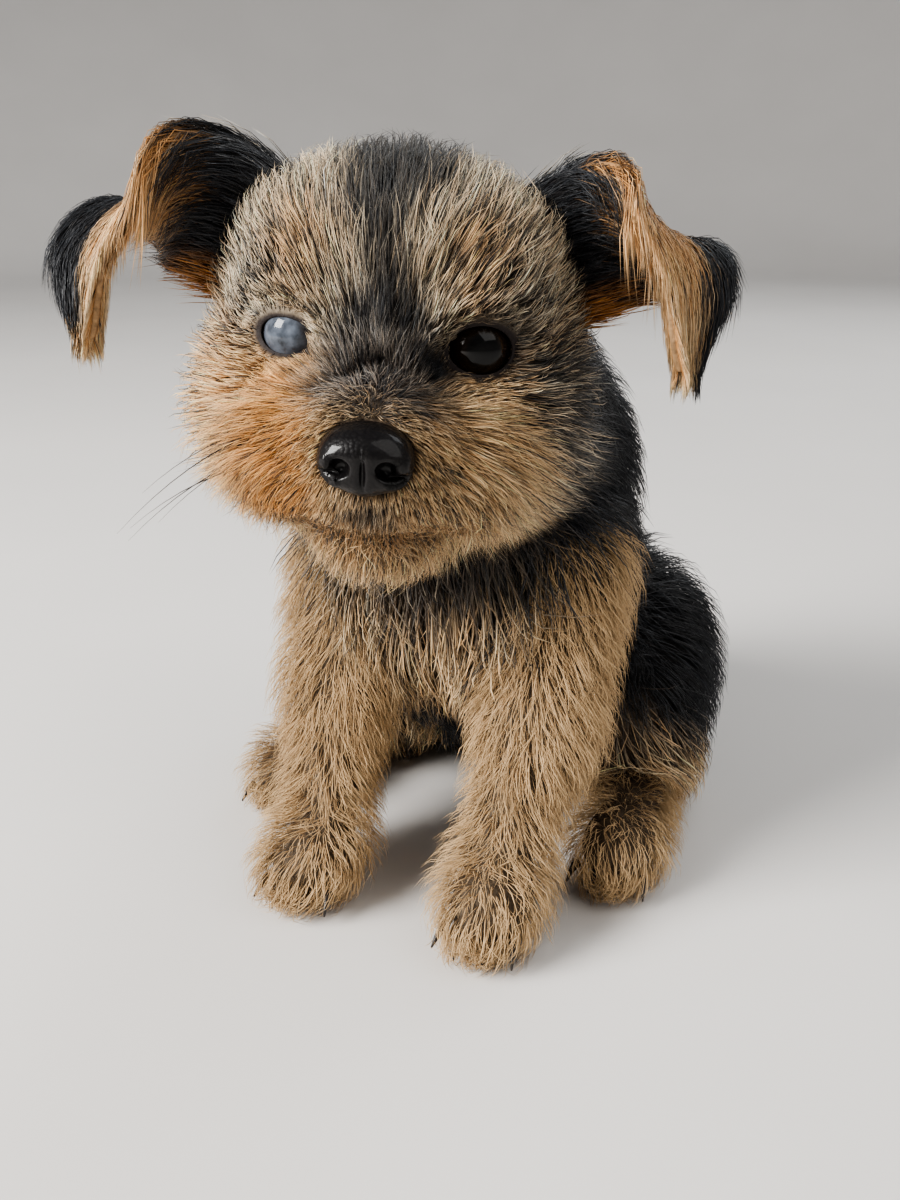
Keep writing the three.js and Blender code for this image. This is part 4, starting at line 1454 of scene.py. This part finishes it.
class PUPPY_OT_whiskers(bpy.types.Operator):
    """Make the whiskers and the claws"""
    bl_idname = "puppy.whiskers"
    bl_label = "Whiskers and claws"

    def execute(self, context):
        face = settings_of(context).face
        whiskers = make_whiskers(face.whiskers, WHISKER_SEED)
        seat(whiskers, bare_finish("whiskers", (0.03, 0.025, 0.022), 0.4, 0.004), "coat_black")
        claws = make_claws()
        seat(claws, bare_finish("claws", face.claw_colour, 0.3, 0.0012, 0.3), "nose_leather")
        return {"FINISHED"}


class PUPPY_OT_head_coat(bpy.types.Operator):
    """Comb the coat of the head and ears"""
    bl_idname = "puppy.head_coat"
    bl_label = "Coat of the head"

    def execute(self, context):
        coat = settings_of(context).coat
        finish = coat_finish("coat_tan", coat.tan_roughness)
        skin = bpy.data.objects["skin"]
        *tufts, places = comb("head", skin, coat.head, HEAD_STEPS, HEAD_SEED, HEAD_LOCK)
        order = np.argsort(places[:, 0])
        for number, chosen in enumerate(np.array_split(order, HEAD_PIECES), 1):
            own = [values[chosen] for values in tufts]
            piece = tuft_piece(f"coat_head_{number}", *own, fill_square(places[chosen]))
            seat(piece, finish, "coat_tan")
        for side, _ in SIDES:
            *tufts, places = ear_coat(side, coat.ear, EAR_SEEDS[side])
            piece = tuft_piece("coat_ear_" + side, *tufts, fill_square(places))
            seat(piece, finish, "coat_black")
        *tufts, places = lid_coat(bpy.data.objects["lids"], coat.lids, LID_SEED)
        piece = tuft_piece("coat_lids", *tufts, fill_square(places))
        seat(piece, finish, "coat_tan")
        return {"FINISHED"}


# For each part of the body: its share of the tufts and the bends of each tuft
BODY_COATS = {"neck": (0.45, 4), "torso": (0.55, 4), "tail": (0.12, 4)}
LIMB_COATS = {"foreleg": (1.0, 3), "hindleg": (0.55, 4), "hindfoot": (0.45, 3)}
BLACK_PARTS = ("neck", "torso", "tail", "hindleg")


class PUPPY_OT_body_coat(bpy.types.Operator):
    """Comb the coat of the neck, torso, legs, feet and tail"""
    bl_idname = "puppy.body_coat"
    bl_label = "Coat of the body"

    def execute(self, context):
        coat = settings_of(context).coat
        black = coat_finish("coat_black", coat.black_roughness)
        tan = bpy.data.materials["coat_tan"]
        for seed, name in enumerate(PARTS[1:], FIRST_BODY_SEED):
            kind = kind_of(name)
            share, steps = {**BODY_COATS, **LIMB_COATS}[kind]
            count = int(share * (coat.body if kind in BODY_COATS else coat.limb))
            *tufts, places = comb(name, bpy.data.objects["skin"], count, steps, seed, BODY_LOCK)
            piece = tuft_piece("coat_" + name, *tufts, fill_square(places))
            finish, slot = (black, "coat_black") if kind in BLACK_PARTS else (tan, "coat_tan")
            seat(piece, finish, slot)
        return {"FINISHED"}


# The camera's place, in metres, and its turn and downward tilt, in degrees
CAMERA_AT = (0.0994, -0.2988, 0.1729)
CAMERA_TURN = 23.22
CAMERA_DIP = 21.85
LIGHTS = {
    "window": ((-0.75, -0.95, 0.75), 0.6, "key", (1.0, 0.98, 0.95)),
    "room": ((0.85, -0.25, 1.05), 1.1, "fill", (1.0, 0.97, 0.93)),
    "behind": ((0.3, 0.9, 0.9), 0.8, "fill", (0.95, 0.98, 1.0)),
}


class PUPPY_OT_stage(bpy.types.Operator):
    """Set the floor, the soft lights and the camera"""
    bl_idname = "puppy.stage"
    bl_label = "Floor, lights and camera"

    def execute(self, context):
        settings = settings_of(context).stage
        deselect()
        bpy.ops.mesh.primitive_grid_add(x_subdivisions=80, y_subdivisions=80, size=settings.floor)
        floor = context.object
        floor.name = floor.data.name = "floor"
        co = corners(floor.data)
        half = settings.floor / 2
        co[:, 2] = half * 0.6 * smooth(np.hypot(co[:, 0], co[:, 1]), half * 0.4, half)
        set_corners(floor.data, co)
        bpy.ops.object.shade_smooth()
        give(floor, floor_finish())
        for name, (place, size, power, colour) in LIGHTS.items():
            aim = (Vector((0, -0.05, 0.09)) - Vector(place)).to_track_quat("-Z", "Y").to_euler()
            bpy.ops.object.light_add(type="AREA", location=place, rotation=aim)
            light = context.object.data
            light.name = name
            light.size = size
            light.energy = getattr(settings, power)
            light.color = colour
        world = bpy.data.worlds.new("pale_room")
        world.use_nodes = True
        world.node_tree.nodes["Background"].inputs["Color"].default_value = (0.80, 0.82, 0.85, 1)
        world.node_tree.nodes["Background"].inputs["Strength"].default_value = 0.3
        context.scene.world = world
        context.scene.view_settings.look = "AgX - Medium High Contrast"
        turned = (math.radians(90 - CAMERA_DIP), 0, math.radians(CAMERA_TURN))
        bpy.ops.object.camera_add(location=CAMERA_AT, rotation=turned)
        camera = context.object
        camera.data.lens = settings.lens
        camera.data.sensor_width = 36
        camera.data.clip_start = 0.01
        context.scene.camera = camera
        return {"FINISHED"}


OPERATORS = (
    PUPPY_OT_stage, PUPPY_OT_skin, PUPPY_OT_ears, PUPPY_OT_eyes, PUPPY_OT_nose,
    PUPPY_OT_whiskers, PUPPY_OT_head_coat, PUPPY_OT_body_coat,
)


class PUPPY_PT_panel(bpy.types.Panel):
    """The puppy's pieces, in the order they are made"""
    bl_idname = "PUPPY_PT_panel"
    bl_label = "Terrier puppy"
    bl_space_type = "VIEW_3D"
    bl_region_type = "UI"
    bl_category = "Puppy"

    def draw(self, context):
        for group in (settings_of(context).skin, settings_of(context).coat,
                      settings_of(context).face, settings_of(context).stage):
            for name in group.__annotations__:
                self.layout.prop(group, name)
        for made in OPERATORS:
            self.layout.operator(made.bl_idname)


CLASSES = (SkinSettings, CoatSettings, FaceSettings, StageSettings, PuppySettings, *OPERATORS, PUPPY_PT_panel)


def register():
    for cls in CLASSES:
        bpy.utils.register_class(cls)
    bpy.types.Scene.puppy = PointerProperty(type=PuppySettings)


def unregister():
    del bpy.types.Scene.puppy
    for cls in reversed(CLASSES):
        bpy.utils.unregister_class(cls)


def main():
    register()
    for made in OPERATORS:
        group, name = made.bl_idname.split(".")
        getattr(getattr(bpy.ops, group), name)()


if __name__ == "__main__":
    main()
